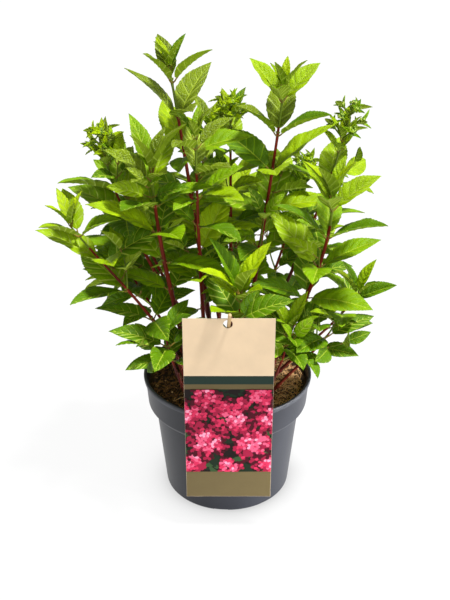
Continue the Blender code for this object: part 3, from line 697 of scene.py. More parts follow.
def stem_materials():
    return [surface(name, colour, shifted(colour, STEM_SECOND), STEM_FINISH) for name, colour in STEM_COLOURS]


def paper(name, colour):
    return surface(name, colour, shifted(colour, PAPER_SECOND), PAPER_FINISH)


# Growth, as in the solids

def shoot_point(shoot, share):
    """A point of the cane's middle line, a cubic curve from its foot to its tip."""
    foot = Vector((*shoot.foot, FILL_TOP + GAP))
    tip = Vector(shoot.tip)
    way = tip - foot
    low, high = (foot + Vector((way.x * sway, way.y * sway, way.z * rise))
                 for sway, rise in zip(shoot.sway, RISES))
    rest = 1.0 - share
    point = foot * rest ** 3 + low * (3.0 * rest * rest * share)
    return point + high * (3.0 * rest * share * share) + tip * share ** 3


def shoot_direction(shoot, share):
    start = max(0.0, share - SLOPE_STEP)
    end = min(1.0, share + SLOPE_STEP)
    return (shoot_point(shoot, end) - shoot_point(shoot, start)).normalized()


def leaf_axis(shoot, share):
    """The line that leaves are set round: they turn from the stem's own direction towards the light."""
    return shoot_direction(shoot, share).lerp(Vector(LIGHT_DIRECTION), LIGHT_PULL).normalized()


def shoot_radius(shoot, share):
    foot_radius = FOOT_RADIUS_LEAST + FOOT_RADIUS_PER_METRE * (shoot.tip[2] - FILL_TOP)
    return foot_radius * (1.0 - (1.0 - TIP_SHARE_OF_RADIUS) * share)


def bark_radius(shoot, share):
    """Radius of the bark, which is stouter than the solid's on the two front canes."""
    return shoot_radius(shoot, share) * (STOUT_SHARE if shoot.name in STOUT_CANES else 1.0)


def node_shares(shoot):
    """Where the leaf nodes are on the shoot, closer together towards the tip."""
    shares = []
    for index in range(shoot.nodes):
        rest = 1.0 - (index + FIRST_NODE) / (shoot.nodes - 1 + FIRST_NODE + LAST_NODE)
        shares.append(1.0 - (1.0 - shoot.bare) * rest ** NODE_CROWDING)
    return shares


def node_height(shoot, index):
    return index / (shoot.nodes - 1)


def whorl_turn(shoot, index, place):
    """Bearing in degrees of a leaf in a node's whorl; each whorl stands over the gaps of the last."""
    return shoot.turn + 360.0 * place / shoot.whorl + 180.0 * index / shoot.whorl


def leaf_share(shoot, index):
    """Size of a node's leaves by its height on the shoot; next to a panicle they are bracts."""
    place = node_height(shoot, index) * (len(SIZE_BY_HEIGHT) - 1)
    below = min(int(place), len(SIZE_BY_HEIGHT) - 2)
    share = mix(SIZE_BY_HEIGHT[below], SIZE_BY_HEIGHT[below + 1], place - below)
    return share * BRACT_SHARE if shoot.buds and index == shoot.nodes - 1 else share


def leaving(axis, bearing, angle):
    """The direction that leaves an axis at an angle, towards a bearing."""
    level = Vector((math.cos(bearing), math.sin(bearing), 0.0))
    outward = (level - axis * level.dot(axis)).normalized()
    return outward * math.sin(angle) + axis * math.cos(angle)


def round_about(axis, across, turn):
    """The direction across an axis, turned round it."""
    return across * math.cos(turn) + axis.cross(across) * math.sin(turn)


def grow_leaf(root, axis, bearing, angle, roll, length, bend, slim=1.0):
    """A leaf at bearing round an axis, leaving it at angle, its upper face towards the axis."""
    along = leaving(axis, bearing, angle)
    normal = (axis - along * axis.dot(along)).normalized()
    side = along.cross(normal)
    normal = normal * math.cos(roll) + side * math.sin(roll)
    return Leaf(root, along, normal, length, length * BLADE_SHARE * slim, bend)


def blade_fullness(share):
    """Width of a blade at a share of its length, as a share of its widest."""
    rise, fall = BLADE_PEAK
    peak = rise / (rise + fall)
    return share ** rise * (1.0 - share) ** fall / (peak ** rise * (1.0 - peak) ** fall)


def blade_frame(leaf, share):
    """Midrib point, upper side and sideways direction at a share of the blade's length."""
    side = leaf.along.cross(leaf.normal)
    turn = leaf.bend * share
    reach = leaf.length * math.sin(turn) / leaf.bend
    drop = leaf.length * (1.0 - math.cos(turn)) / leaf.bend
    middle = leaf.root + leaf.along * (PETIOLE + reach) - leaf.normal * drop
    upper = leaf.normal * math.cos(turn) + leaf.along * math.sin(turn)
    return middle, upper, side


def blade_corners(leaf, share, extra):
    middle, upper, side = blade_frame(leaf, share)
    width = 0.5 * leaf.width * blade_fullness(share) + extra
    thick = 0.5 * BLADE_THICKNESS + extra
    raised = upper * (width * math.sin(LEAF_FOLD))
    reach = side * (width * math.cos(LEAF_FOLD))
    return [middle - reach + raised, middle + upper * thick, middle + reach + raised, middle - upper * thick]


def stalk_corners(leaf, extra):
    middle, upper, side = blade_frame(leaf, 0.0)
    radius = PETIOLE_RADIUS + extra
    level = middle + upper * (0.5 * radius)
    return [level - side * radius, level + side * radius, middle - upper * radius]


def leaf_shape(leaf, extra=0.0, whole=True):
    """The plain solid that keeps a leaf's place; not whole is its blade alone."""
    small = leaf.length < SMALL_LEAF
    points = []
    for share in (SMALL_LEAF_SECTIONS if small else LEAF_SECTIONS):
        points.extend(blade_corners(leaf, share, extra))
    last = len(points)
    tip, _, _ = blade_frame(leaf, 1.0)
    points.append(tip + leaf.along * extra)
    faces = []
    for corner in range(4):
        following = (corner + 1) % 4
        for base in range(0, last - 4, 4):
            faces.append((base + corner, base + following, base + 4 + following, base + 4 + corner))
        faces.append((last - 4 + corner, last - 4 + following, last))
    if not whole:
        return points, faces
    root = last + 1
    points.append(leaf.root - leaf.along * ROOT_DEPTH)
    if small:
        faces.extend((root, (corner + 1) % 4, corner) for corner in range(4))
        return points, faces
    left, right, under = root + 1, root + 2, root + 3
    points.extend(stalk_corners(leaf, extra))
    faces.extend([(root, right, left), (root, under, right), (root, left, under)])
    faces.extend([(left, right, 1), (left, 1, 0), (right, 2, 1), (left, 0, 3, under), (under, 3, 2, right)])
    return points, faces


def panicle_twigs(shoot):
    """Start and end of each twig of the bud panicle, the middle one first."""
    base = shoot_point(shoot, 1.0)
    axis = shoot_direction(shoot, 1.0)
    across = axis.orthogonal().normalized()
    length = PANICLE_LENGTH * shoot.buds
    twigs = [(base - axis * PANICLE_ROOT, base + axis * length)]
    for tier in range(PANICLE_TIERS):
        share = tier / PANICLE_TIERS
        for place in range(PANICLE_TWIGS):
            turn = 2.0 * math.pi * (place + 0.5 * (tier % 2)) / PANICLE_TWIGS
            start = base + axis * (length * share)
            reach = PANICLE_REACH * shoot.buds * (1.0 - PANICLE_TAPER * share)
            end = start + round_about(axis, across, turn) * reach + axis * (PANICLE_RISE * reach)
            twigs.append((start, end))
    return twigs


# Room: what stands already, so that new leaves and twigs keep clear of it

class Room:
    """Shapes that stand in the crown, kept by cells so that a new one meets only its neighbours."""

    def __init__(self):
        self.shapes = []
        self.cells = {}

    def cells_of(self, points):
        low, high = ([int(limit(point[axis] for point in points) // ROOM_CELL) for axis in range(3)]
                     for limit in (min, max))
        return itertools.product(*(range(start, end + 1) for start, end in zip(low, high)))

    def add(self, points, faces, owner=None, blade=False):
        """Adds a shape; a blade counts for its own shoot, and a whole leaf for the others."""
        number = len(self.shapes)
        self.shapes.append((BVHTree.FromPolygons(points, faces), owner, blade))
        for cell in self.cells_of(points):
            self.cells.setdefault(cell, []).append(number)

    def is_free(self, points, faces, owner):
        tree = BVHTree.FromPolygons(points, faces)
        near = set()
        for cell in self.cells_of(points):
            near.update(self.cells.get(cell, ()))
        for number in near:
            other, other_owner, blade = self.shapes[number]
            if blade == (other_owner == owner) and tree.overlap(other):
                return False
        return True

    def add_leaf(self, leaf, owner):
        self.add(*leaf_shape(leaf), owner=owner)
        self.add(*leaf_shape(leaf, 0.0, False), owner=owner, blade=True)


def settle_leaf(room, owner, root, axis, bearing, angle, roll, length, bend, slim=1.0):
    """The first try at a leaf that keeps clear of what stands, or None."""
    for size, tilt, turn in itertools.product(TRY_SIZES, TRY_TILTS, TRY_TURNS):
        leaf = grow_leaf(root, axis, bearing + math.radians(turn), angle + math.radians(tilt), roll,
                         length * size, bend, slim)
        if room.is_free(*leaf_shape(leaf, CLEARANCE), owner):
            return leaf
    return None


def shoot_leaves(shoot, number, room):
    """Every leaf of a shoot with its height on the shoot, lowest first, by turning whorls."""
    chance = random.Random(FIRST_SEED + number)
    leaves = []
    for index, share in enumerate(node_shares(shoot)):
        height = node_height(shoot, index)
        axis = leaf_axis(shoot, share)
        root = shoot_point(shoot, share)
        for place in range(shoot.whorl):
            bearing = math.radians(whorl_turn(shoot, index, place) + chance.uniform(-LOOSE_TURN, LOOSE_TURN))
            angle = mix(*ANGLE_FROM_AXIS, height) + math.radians(chance.uniform(-LOOSE_TILT, LOOSE_TILT))
            roll = math.radians(chance.uniform(-LOOSE_ROLL, LOOSE_ROLL))
            length = shoot.leaf * leaf_share(shoot, index) * (1.0 + chance.uniform(-LOOSE_SIZE, LOOSE_SIZE))
            bend = mix(*LEAF_BEND, height) * (1.0 + chance.uniform(-LOOSE_BEND, LOOSE_BEND))
            leaf = settle_leaf(room, number, root, axis, bearing, angle, roll, length, bend)
            if leaf is not None:
                leaves.append((leaf, height))
                room.add_leaf(leaf, number)
    axis = leaf_axis(shoot, TIP_NODE)
    root = shoot_point(shoot, TIP_NODE)
    for place in range(TIP_LEAVES):
        turn = shoot.turn + 360.0 * (place + 0.5) / TIP_LEAVES
        bearing = math.radians(turn + chance.uniform(-TIP_LEAF_LOOSE_TURN, TIP_LEAF_LOOSE_TURN))
        angle = TIP_LEAF_ANGLE * chance.uniform(*TIP_LEAF_SPREAD)
        length = shoot.leaf * shoot.tuft * chance.uniform(*TIP_LEAF_SIZES)
        leaf = settle_leaf(room, number, root, axis, bearing, angle, 0.0, length, TIP_LEAF_BEND,
                           TIP_LEAF_SLIM)
        if leaf is not None:
            leaves.append((leaf, TIP_LEAF_AGE))
            room.add_leaf(leaf, number)
    return leaves


# Side twigs

def twig_point(twig, share):
    rise = twig.rise * (SIDE_RISE * twig.length * share * share)
    return twig.root + twig.along * (twig.length * share) + rise


def twig_direction(twig, share):
    return (twig.along + twig.rise * (2.0 * SIDE_RISE * share)).normalized()


def in_reach(shoot, points):
    """Whether points stay within the space of the shoot's solid."""
    low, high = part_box("foliage_" + shoot.name)
    return all(low[axis] - REACH_SPARE <= point[axis] <= high[axis] + REACH_SPARE
               for point in points for axis in range(3))


def twig_leaf(shoot, number, room, twig, share, bearing, angle, length, chance):
    roll = math.radians(chance.uniform(-LOOSE_ROLL, LOOSE_ROLL))
    leaf = settle_leaf(room, number, twig_point(twig, share), twig_direction(twig, share), bearing, angle,
                       roll, length, SIDE_LEAF_BEND)
    if leaf is None or not in_reach(shoot, leaf_shape(leaf)[0]):
        return None
    room.add_leaf(leaf, number)
    return leaf


def side_growth(shoot, number, room):
    """Side twigs of a shoot in its leaf axils, each with a pair of leaves and a tuft at its end."""
    chance = random.Random(SIDE_SEED + number)
    twigs = []
    leaves = []
    for index, share in enumerate(node_shares(shoot)[:-1]):
        height = node_height(shoot, index)
        stem = shoot_direction(shoot, share)
        size = mix(*SIDE_LEAF, height)
        for place in range(shoot.whorl):
            wanted = chance.random() < SIDE_CHANCE and shoot_point(shoot, share).z < SIDE_TOP
            turn = whorl_turn(shoot, index, place) + chance.uniform(-SIDE_LOOSE_TURN, SIDE_LOOSE_TURN)
            bearing = math.radians(turn)
            length = mix(*SIDE_LENGTH, height) * chance.uniform(*SIDE_LENGTH_SHARES)
            if not wanted:
                continue
            root = shoot_point(shoot, share + SIDE_ABOVE_NODE)
            twig = Twig(root, leaving(stem, bearing, SIDE_ANGLE), stem, length)
            own = []
            for pair in range(2):
                around_twig = bearing + math.radians(90.0 + 180.0 * pair)
                length = size * chance.uniform(*SIDE_PAIR_SIZES)
                own.append(twig_leaf(shoot, number, room, twig, SIDE_PAIR_AT, around_twig, SIDE_LEAF_ANGLE,
                                     length, chance))
            for tuft in range(SIDE_TIP_LEAVES):
                loose = chance.uniform(-SIDE_TIP_LOOSE_TURN, SIDE_TIP_LOOSE_TURN)
                around_twig = bearing + math.radians(360.0 * tuft / SIDE_TIP_LEAVES + loose)
                length = size * chance.uniform(*SIDE_TIP_SIZES)
                own.append(twig_leaf(shoot, number, room, twig, 1.0, around_twig, SIDE_TIP_ANGLE,
                                     length, chance))
            own = [leaf for leaf in own if leaf is not None]
            if own:
                twigs.append(twig)
                leaves.extend((leaf, min(SIDE_LEAF_AGE, height + SIDE_LEAF_OLDER)) for leaf in own)
    return twigs, leaves


# Leaf blades

def leaf_look(leaf, height, chance):
    """Colour, fold, twist and edge wave of a leaf: the youngest are limy and folded."""
    young = min(1.0, max(0.0, height))
    draw = chance.random()
    if height > 1.0 and draw < YOUNGEST_LIME:
        colour = LIME
    elif draw < BRIGHT_SHARE + BRIGHT_MORE_YOUNG * young:
        colour = BRIGHT
    elif draw < DEEP_FROM:
        colour = MIDDLE
    else:
        colour = DEEP
    fold = mix(*BLADE_FOLDS, young ** 3) * chance.uniform(*FOLD_SHARES)
    twist = chance.uniform(-TWIST, TWIST)
    wave = WAVE * chance.uniform(*WAVE_SHARES) * leaf.length / DETAIL_LENGTH
    shade = leaf.root.z < SHADED_BELOW
    shade += leaf.root.x < SHADED_LEFT[0] and leaf.root.z < SHADED_LEFT[1]
    shade += leaf.root.x > SHADED_RIGHT and chance.random() < SHADED_SHARE
    if shade:
        colour = min(DEEP, colour + shade)
    elif leaf.root.z > OLIVE_ABOVE and chance.random() < OLIVE_SHARE:
        colour = OLIVE
    vein = VEIN if colour == OLIVE or chance.random() < PALE_VEINED else max(LIME, colour - 1)
    return Look(colour, vein, fold, twist, wave, chance.uniform(*WAVES), chance.random())


def blade_patch(leaf, look):
    """A closed blade whose rows follow the side veins, quilted between them and toothed at the edge."""
    detail = LARGE_DETAIL if leaf.length > DETAIL_LIMIT else SMALL_DETAIL
    upper_count = len(detail.upper)
    phases = np.array([vein + phase for vein in range(detail.veins) for phase in detail.phases])
    rows = np.clip(np.append(phases, detail.veins) / detail.veins, *BLADE_ENDS)[:, None]
    puff = np.append(np.sin(np.pi * (phases % 1.0)) ** PUFF_ROUND, 0.0)[:, None]
    parity = (np.arange(len(rows)) % 2)[:, None]
    columns = np.array(detail.upper + detail.lower)[None, :]
    reach = np.abs(columns)
    share = rows + 4.0 * VEIN_SWEEP * rows * (1.0 - rows) * reach ** VEIN_CURVE
    fullness = blade_fullness(share)
    teeth = TOOTH * ((TOOTH_OUT * parity) - TOOTH_IN) * np.sqrt(fullness) * leaf.length / DETAIL_LENGTH
    lateral = 0.5 * leaf.width * fullness * reach + (reach == 1.0) * teeth
    fold = look.fold * (1.0 - EDGE_UNFOLDS * reach)
    between = np.sin(np.pi * np.minimum(reach, 1.0)) ** PUFF_ACROSS
    lift = lateral * np.sin(fold) + QUILT * puff * between * np.sqrt(fullness)
    ripple = np.sin(2.0 * np.pi * (share * look.waves + look.phase + WAVE_SIDES_APART * (columns < 0.0)))
    lift = lift + look.wave * reach ** 2 * ripple * fullness
    below = np.arange(columns.shape[1])[None, :] >= upper_count
    rib = RIB_DEPTH * (reach < RIB_REACH) * (1.0 - RIB_TAPER * share)
    lift = lift - below * (BLADE_SKIN + rib + QUILT_BELOW * QUILT * (1.0 - puff) * between)
    lateral = np.sign(columns) * lateral * np.cos(fold)
    along, normal = np.array(leaf.along), np.array(leaf.normal)
    side = np.cross(along, normal)
    turn = (leaf.bend * share)[..., None]
    forward = PETIOLE + leaf.length * np.sin(turn) / leaf.bend
    drop = leaf.length * (1.0 - np.cos(turn)) / leaf.bend
    upper = normal * np.cos(turn) + along * np.sin(turn)
    twist = (look.twist * share)[..., None]
    turned_up = upper * np.cos(twist) + side * np.sin(twist)
    turned_side = side * np.cos(twist) - upper * np.sin(twist)
    points = np.array(leaf.root) + along * forward - normal * drop
    points = points + turned_up * lift[..., None] + turned_side * lateral[..., None]
    looks = np.full((len(rows) - 1, columns.shape[1]), look.colour)
    looks[:, upper_count - 1:] = UNDERSIDE
    looks[phases % 1.0 == 0.0, upper_count - 1:] = VEIN
    looks[phases % 1.0 == 0.0, :upper_count - 1] = look.vein
    looks[:, upper_count // 2 - 1] = MIDRIB
    looks[:, upper_count + len(detail.lower) // 2 - 1] = VEIN
    return closed_skin(points, looks)


def petiole_patch(leaf):
    base, upper, _ = blade_frame(leaf, 0.0)
    middle = leaf.root.lerp(base, PETIOLE_SAG_AT) - upper * PETIOLE_SAG
    end = blade_frame(leaf, PETIOLE_END_AT)[0] - upper * PETIOLE_END_UNDER
    size = min(1.0, leaf.length / PETIOLE_FULL_AT)
    radii = [radius * size for radius in PETIOLE_RADII]
    return tube_patch([leaf.root, middle, base, end], radii, TWIG_SIDES, PETIOLE_LOOK)


# Canes, stems and buds

def bark_relief(bark, number=1):
    """Long shallow ridges and small warts, as shares of the radius."""
    seed = bark.seed * number
    relief = np.zeros((bark.rows, bark.sides))
    for row, corner in itertools.product(range(bark.rows), range(bark.sides)):
        turn = 2.0 * math.pi * corner / bark.sides
        cosine, sine = math.cos(turn), math.sin(turn)
        ridge = noise.noise(Vector((RIDGES_ROUND * cosine, RIDGES_ROUND * sine + seed, RIDGES_ALONG * row)))
        wart = noise.noise(Vector((WARTS_ROUND * cosine + seed, WARTS_ROUND * sine, WARTS_ALONG * row)))
        relief[row, corner] = bark.depth * ridge + WART_SHARE * bark.depth * max(0.0, wart - WART_LEAST)
    return relief


def bark_patch(shoot, number, start, end, knots, bark, red_share):
    """A stretch of the shoot in its bark, swollen at its knots, red below a share and green above it."""
    shares = [mix(start, end, row / (bark.rows - 1)) for row in range(bark.rows)]
    points = [shoot_point(shoot, share) for share in shares]
    swells = [sum(math.exp(-((share - knot) / bark.reach) ** 2) for knot in knots) for share in shares]
    radii = [bark_radius(shoot, share) * (1.0 + bark.swell * swell) for share, swell in zip(shares, swells)]
    looks = np.array([RED_STEM if share < red_share else GREEN_STEM for share in shares[:-1]])[:, None]
    return tube_patch(points, radii, bark.sides, looks, bark_relief(bark, number))


def stub_patch(shoot, share, bearing, length, look):
    """A small pointed bud or leaf stub against the stem."""
    stem = shoot_direction(shoot, share)
    along = leaving(stem, bearing, STUB_ANGLE)
    outward = (along - stem * along.dot(stem)).normalized()
    root = shoot_point(shoot, share) + outward * (STUB_ROOT * bark_radius(shoot, share))
    points = [root + along * (place * length) for place in STUB_PLACES]
    return tube_patch(points, [radius * length for radius in STUB_RADII], TWIG_SIDES, look)


def cane_piece(shoot, number, material):
    """The bare cane with its bark, swollen old nodes and leaf stubs."""
    knots = [shoot.bare * share for share in OLD_NODES]
    patches = [bark_patch(shoot, number, 0.0, shoot.bare, knots, CANE_BARK, 1.0)]
    for index, knot in enumerate(knots):
        for pair in range(2):
            bearing = math.radians(shoot.turn + 90.0 * index + 180.0 * pair)
            patches.append(stub_patch(shoot, knot, bearing, CANE_STUB, RED_STEM))
    return make_piece("bark_" + shoot.name, patches, [material], ["cane_" + shoot.name])


def stem_patches(shoot, number, twigs, leaves):
    """The leafy stem, red below and green at its tip, its side twigs and all the petioles."""
    nodes = node_shares(shoot)
    patches = [bark_patch(shoot, number, shoot.bare, 1.0, nodes, STEM_BARK, RED_SHARE)]
    steps = [step / SIDE_PARTS for step in range(SIDE_PARTS + 1)]
    radii = [mix(*SIDE_RADIUS, step) for step in steps]
    for twig in twigs:
        patches.append(tube_patch([twig_point(twig, step) for step in steps], radii, TWIG_SIDES, GREEN_STEM))
    patches.extend(petiole_patch(leaf) for leaf, _ in leaves)
    for index, share in enumerate(nodes):
        above = min(STEM_STUB_LAST, share + STEM_STUB_ABOVE)
        for place in range(shoot.whorl):
            bearing = math.radians(whorl_turn(shoot, index, place))
            patches.append(stub_patch(shoot, above, bearing, STEM_STUB, GREEN_STEM))
    return patches


def ball_patch(middle, radius, look):
    """A small round bud with a blunt point."""
    leans = [math.pi * row / BUD_RINGS for row in range(1, BUD_RINGS)]
    rings = turned_rings([(radius * math.sin(lean), -radius * math.cos(lean)) for lean in leans], BUD_SIDES)
    patch = closed_skin(rings[:, ::-1], look)
    return patch._replace(points=patch.points + np.array(middle))


def bract_patch(root, stem, bearing, angle, length, look):
    """A narrow young leaf without a stalk."""
    leaf = grow_leaf(root, stem, bearing, angle, 0.0, length, BRACT_BEND, BRACT_SLIM)
    return blade_patch(leaf._replace(root=leaf.root - leaf.along * PETIOLE), look)


def panicle_patches(shoot, number):
    """The panicle's twigs, each with a knot of round buds at its end and narrow bracts under the knot."""
    chance = random.Random(PANICLE_SEED + number)
    stalks = []
    buds = []
    bracts = []
    for index, (start, end) in enumerate(panicle_twigs(shoot)):
        stalks.append(tube_patch([start, start.lerp(end, 0.5), end], STALK_RADII, TWIG_SIDES))
        along = (end - start).normalized()
        across = along.orthogonal().normalized()
        for fork in range(KNOT_FORKS):
            lean = math.sqrt((fork + 0.5) / KNOT_FORKS)
            outward = round_about(along, across, fork * FORK_TURN)
            root = start.lerp(end, mix(*FORK_ROOTS, lean))
            reach = (outward * lean + along * (KNOT_RISE - lean)) * KNOT_RADIUS
            tip = end + reach * chance.uniform(*FORK_LENGTHS)
            stalks.append(tube_patch([root, root.lerp(tip, 0.5), tip], FORK_RADII, FORK_SIDES))
            for _ in range(FORK_BUDS):
                spot = Vector([chance.gauss(0.0, BUD_SPREAD) for _ in range(3)])
                buds.append(ball_patch(tip + spot, chance.uniform(*BUD_RADIUS), chance.randrange(2)))
        for bract in range(KNOT_BRACTS):
            root = start.lerp(end, chance.uniform(*BRACT_PLACES))
            bearing = math.radians(BRACT_TURN * bract + BRACT_TWIG_TURN * index)
            length = chance.uniform(*BRACT_LENGTH)
            colour = chance.choice(OLD_BRACTS if shoot.buds > OLD_PANICLE else YOUNG_BRACTS)
            twist = chance.uniform(-TWIST, TWIST)
            look = Look(colour, colour, BLADE_FOLDS[1], twist, BRACT_WAVE, 1.0, chance.random())
            bracts.append(bract_patch(root, along, bearing, chance.uniform(*BRACT_ANGLES), length, look))
    return stalks, buds, bracts


# Shoots

def node_shape(node):
    mesh = node.data
    return [vertex.co.copy() for vertex in mesh.vertices], [tuple(face.vertices) for face in mesh.polygons]


def thin_shape(points, radii):
    """A three-sided tube that keeps the place of a stem or twig."""
    patch = tube_patch(points, radii, 3)
    return patch.points.tolist(), patch.quads.tolist() + patch.triangles.tolist()


def standing_room(nodes):
    """The room with all that stands before the leaves: pot, fill, wood, card, stick, canes and stems."""
    room = Room()
    for name in ["pot", "fill", "old_wood", "card", "stick"] + ["cane_" + shoot.name for shoot in SHOOTS]:
        room.add(*node_shape(nodes[name]))
    for number, shoot in enumerate(SHOOTS):
        shares = [shoot.bare, *node_shares(shoot), 1.0]
        points = [shoot_point(shoot, share) for share in shares]
        room.add(*thin_shape(points, [shoot_radius(shoot, share) for share in shares]), owner=number)
        for start, end in panicle_twigs(shoot) if shoot.buds else ():
            points = [start, start.lerp(end, PANICLE_ROOM_AT), end]
            room.add(*thin_shape(points, PANICLE_ROOM_RADII), owner=number)
    return room


def open_strips():
    """Ribbons in front of the open stretches, which the leaves that would hide them cross."""
    points = []
    faces = []
    for name, start, end in OPEN_STRETCHES:
        shoot = next(shoot for shoot in SHOOTS if shoot.name == name)
        base = len(points)
        for share in np.linspace(start, end, OPEN_STEPS):
            points.extend(shoot_point(shoot, share) + Vector(OPEN_TOWARDS) * reach for reach in OPEN_STRIP)
        faces.extend((row, row + 1, row + 3, row + 2) for row in range(base, len(points) - 2, 2))
    return BVHTree.FromPolygons(points, faces)


def grow_plant(nodes):
    leaf_looks = leaf_materials()
    stem_looks = stem_materials()
    bark = surface(*CANE_SURFACE)
    bud_looks = [surface(*row) for row in BUD_SURFACES]
    room = standing_room(nodes)
    grown = [shoot_leaves(shoot, number, room) for number, shoot in enumerate(SHOOTS)]
    strips = open_strips()
    for number, shoot in enumerate(SHOOTS):
        twigs, fine_leaves = side_growth(shoot, number, room)
        leaves = grown[number] + fine_leaves
        chance = random.Random(LOOK_SEED + number)
        looks = [leaf_look(leaf, height, chance) for leaf, height in leaves]
        shown = [not strips.overlap(BVHTree.FromPolygons(*leaf_shape(leaf))) for leaf, _ in leaves]
        blades = [blade_patch(leaf, look) for (leaf, _), look, seen in zip(leaves, looks, shown) if seen]
        leaves = [pair for pair, seen in zip(leaves, shown) if seen]
        make_piece("leaves_" + shoot.name, blades, leaf_looks, ["foliage_" + shoot.name])
        make_piece("stems_" + shoot.name, stem_patches(shoot, number, twigs, leaves), stem_looks)
        cane_piece(shoot, number, bark)
        if shoot.buds:
            stalks, buds, bracts = panicle_patches(shoot, number)
            make_piece("panicle_stalks_" + shoot.name, stalks, [stem_looks[GREEN_STEM]])
            make_piece("buds_" + shoot.name, buds, bud_looks)
            make_piece("bracts_" + shoot.name, bracts, leaf_looks)


# Pot, fill and old wood

def round_corners(profile):
    """Replaces each inner corner of an open outline by a short arc."""
    result = [profile[0]]
    for before, corner, after in zip(profile, profile[1:], profile[2:]):
        here = Vector(corner)
        start = Vector(before) - here
        end = Vector(after) - here
        cut = min(CORNER_RADIUS, CORNER_MOST * start.length, CORNER_MOST * end.length)
        start = here + start.normalized() * cut
        end = here + end.normalized() * cut
        for step in range(CORNER_STEPS + 1):
            share = step / CORNER_STEPS
            point = start.lerp(here, share).lerp(here.lerp(end, share), share)
            result.append((point.x, point.y))
    result.append(profile[-1])
    return result


def pot_profile():
    inner_top = BAND_TOP_RADIUS - POT_WALL
    return [
        (0.0, FLOOR_TOP),
        (BASE_RADIUS - POT_WALL, FLOOR_TOP),
        (WALL_TOP_RADIUS - POT_WALL, WALL_TOP_Z),
        (BAND_FOOT_RADIUS - POT_WALL, BAND_FOOT_Z),
        (inner_top, POT_HEIGHT - LIP_INNER_EDGE),
        (inner_top + LIP_INNER_EDGE, POT_HEIGHT),
        (LIP_RADIUS - LIP_OUTER_EDGE, POT_HEIGHT),
        (LIP_RADIUS, POT_HEIGHT - LIP_WIDEST * LIP_DEPTH),
        (LIP_RADIUS - LIP_UNDERCUT, POT_HEIGHT - LIP_DEPTH),
        (BAND_TOP_RADIUS, POT_HEIGHT - LIP_DEPTH - LIP_UNDERCUT),
        (BAND_FOOT_RADIUS, BAND_FOOT_Z + BAND_BEVEL_UP),
        (BAND_FOOT_RADIUS - BAND_BEVEL_IN, BAND_FOOT_Z - BAND_BEVEL_DOWN),
        (WALL_TOP_RADIUS, WALL_TOP_Z),
        (BASE_RADIUS, BASE_EDGE),
        (BASE_RADIUS - BASE_EDGE, 0.0),
        (0.0, 0.0),
    ]


def drain_cutter():
    shape = bmesh.new()
    for index in range(DRAINS):
        bearing = 2.0 * math.pi * index / DRAINS + DRAIN_TURN
        outward = Vector((math.cos(bearing), math.sin(bearing), 0.0))
        aside = Vector((-outward.y, outward.x, 0.0))
        middle = outward * (BASE_RADIUS - 0.5 * DRAIN_DEPTH + 0.5 * DRAIN_PAST_EDGE)
        for corner in bmesh.ops.create_cube(shape, size=1.0)["verts"]:
            reach = corner.co.x * (DRAIN_DEPTH + DRAIN_PAST_EDGE)
            shift = outward * reach + aside * (corner.co.y * DRAIN_WIDTH)
            corner.co = middle + shift + Vector((0.0, 0.0, corner.co.z * 2.0 * DRAIN_HEIGHT))
        hole = bmesh.ops.create_cone(shape, cap_ends=True, segments=DRAIN_HOLE_SIDES,
                                     radius1=DRAIN_HOLE_RADIUS, radius2=DRAIN_HOLE_RADIUS,
                                     depth=4.0 * FLOOR_TOP)
        for corner in hole["verts"]:
            corner.co += outward * DRAIN_HOLE_FROM_AXIS
    mesh = bpy.data.meshes.new("drain_cutter")
    shape.to_mesh(mesh)
    shape.free()
    return new_object("drain_cutter", mesh)


def make_pot():
    """The pot's shell with its lip painted lighter where light from above falls on it, and the drains cut out
    of its foot.
    """
    rows = round_corners(pot_profile())[1:-1]
    # faces on the lip's top take the lighter grey, a painted highlight
    painted_highlight_on_lip = [min(low[0], high[0]) > BAND_TOP_RADIUS and min(low[1], high[1]) > POT_HEIGHT - LIP_DEPTH
              for low, high in zip(rows, rows[1:])]
    shell = closed_skin(turned_rings(rows, POT_STEPS), np.array(painted_highlight_on_lip, dtype=int)[:, None])
    pot = make_piece("pot_shell", [shell], [surface(*row) for row in POT_SURFACES], ["pot"])
    cutter = drain_cutter()
    boolean = pot.modifiers.new("Drains", "BOOLEAN")
    boolean.operation = "DIFFERENCE"
    boolean.solver = "EXACT"
    boolean.use_self = True
    boolean.object = cutter
    graph = bpy.context.evaluated_depsgraph_get()
    graph.update()
    mesh = bpy.data.meshes.new_from_object(pot.evaluated_get(graph))
    pot.modifiers.clear()
    pot.data = mesh
    bpy.data.objects.remove(cutter, do_unlink=True)
    soften(mesh, POT_SHARP_ANGLE)


def fill_radius():
    slope = (BAND_TOP_RADIUS - BAND_FOOT_RADIUS) / (POT_HEIGHT - LIP_DEPTH - BAND_FOOT_Z)
    return BAND_FOOT_RADIUS + slope * (FILL_TOP - BAND_FOOT_Z) - POT_WALL - FILL_CLEARANCE


def bed_height(x, y):
    """Height of the crumbly top of the fill."""
    height = FILL_TOP
    for number, seed, depth in BED_BUMPS:
        height += depth * noise.noise(Vector((x * number, y * number, seed)))
    return height


def make_bed(rim):
    """The bed of coir, from the middle of its top round its edge to its underside."""
    turns = around(BED_STEPS)
    rings = []
    for share in np.linspace(BED_FIRST_RING, 1.0, BED_RINGS):
        ring = [(math.cos(turn) * rim * share, math.sin(turn) * rim * share) for turn in turns]
        rings.append([(x, y, bed_height(x, y)) for x, y in ring])
    inset = POT_WALL + FILL_CLEARANCE
    for radius, height in ((BAND_FOOT_RADIUS - inset, BAND_FOOT_Z + FILL_SHOULDER_RISE),
                           (WALL_TOP_RADIUS - inset, WALL_TOP_Z + FILL_SHOULDER_RISE),
                           (BASE_RADIUS - inset, FLOOR_TOP + GAP)):
        rings.append([(math.cos(turn) * radius, math.sin(turn) * radius, height) for turn in turns])
    make_piece("coir_bed", [closed_skin(np.array(rings), 0)], [surface(*COIR_SURFACE)], ["fill"])


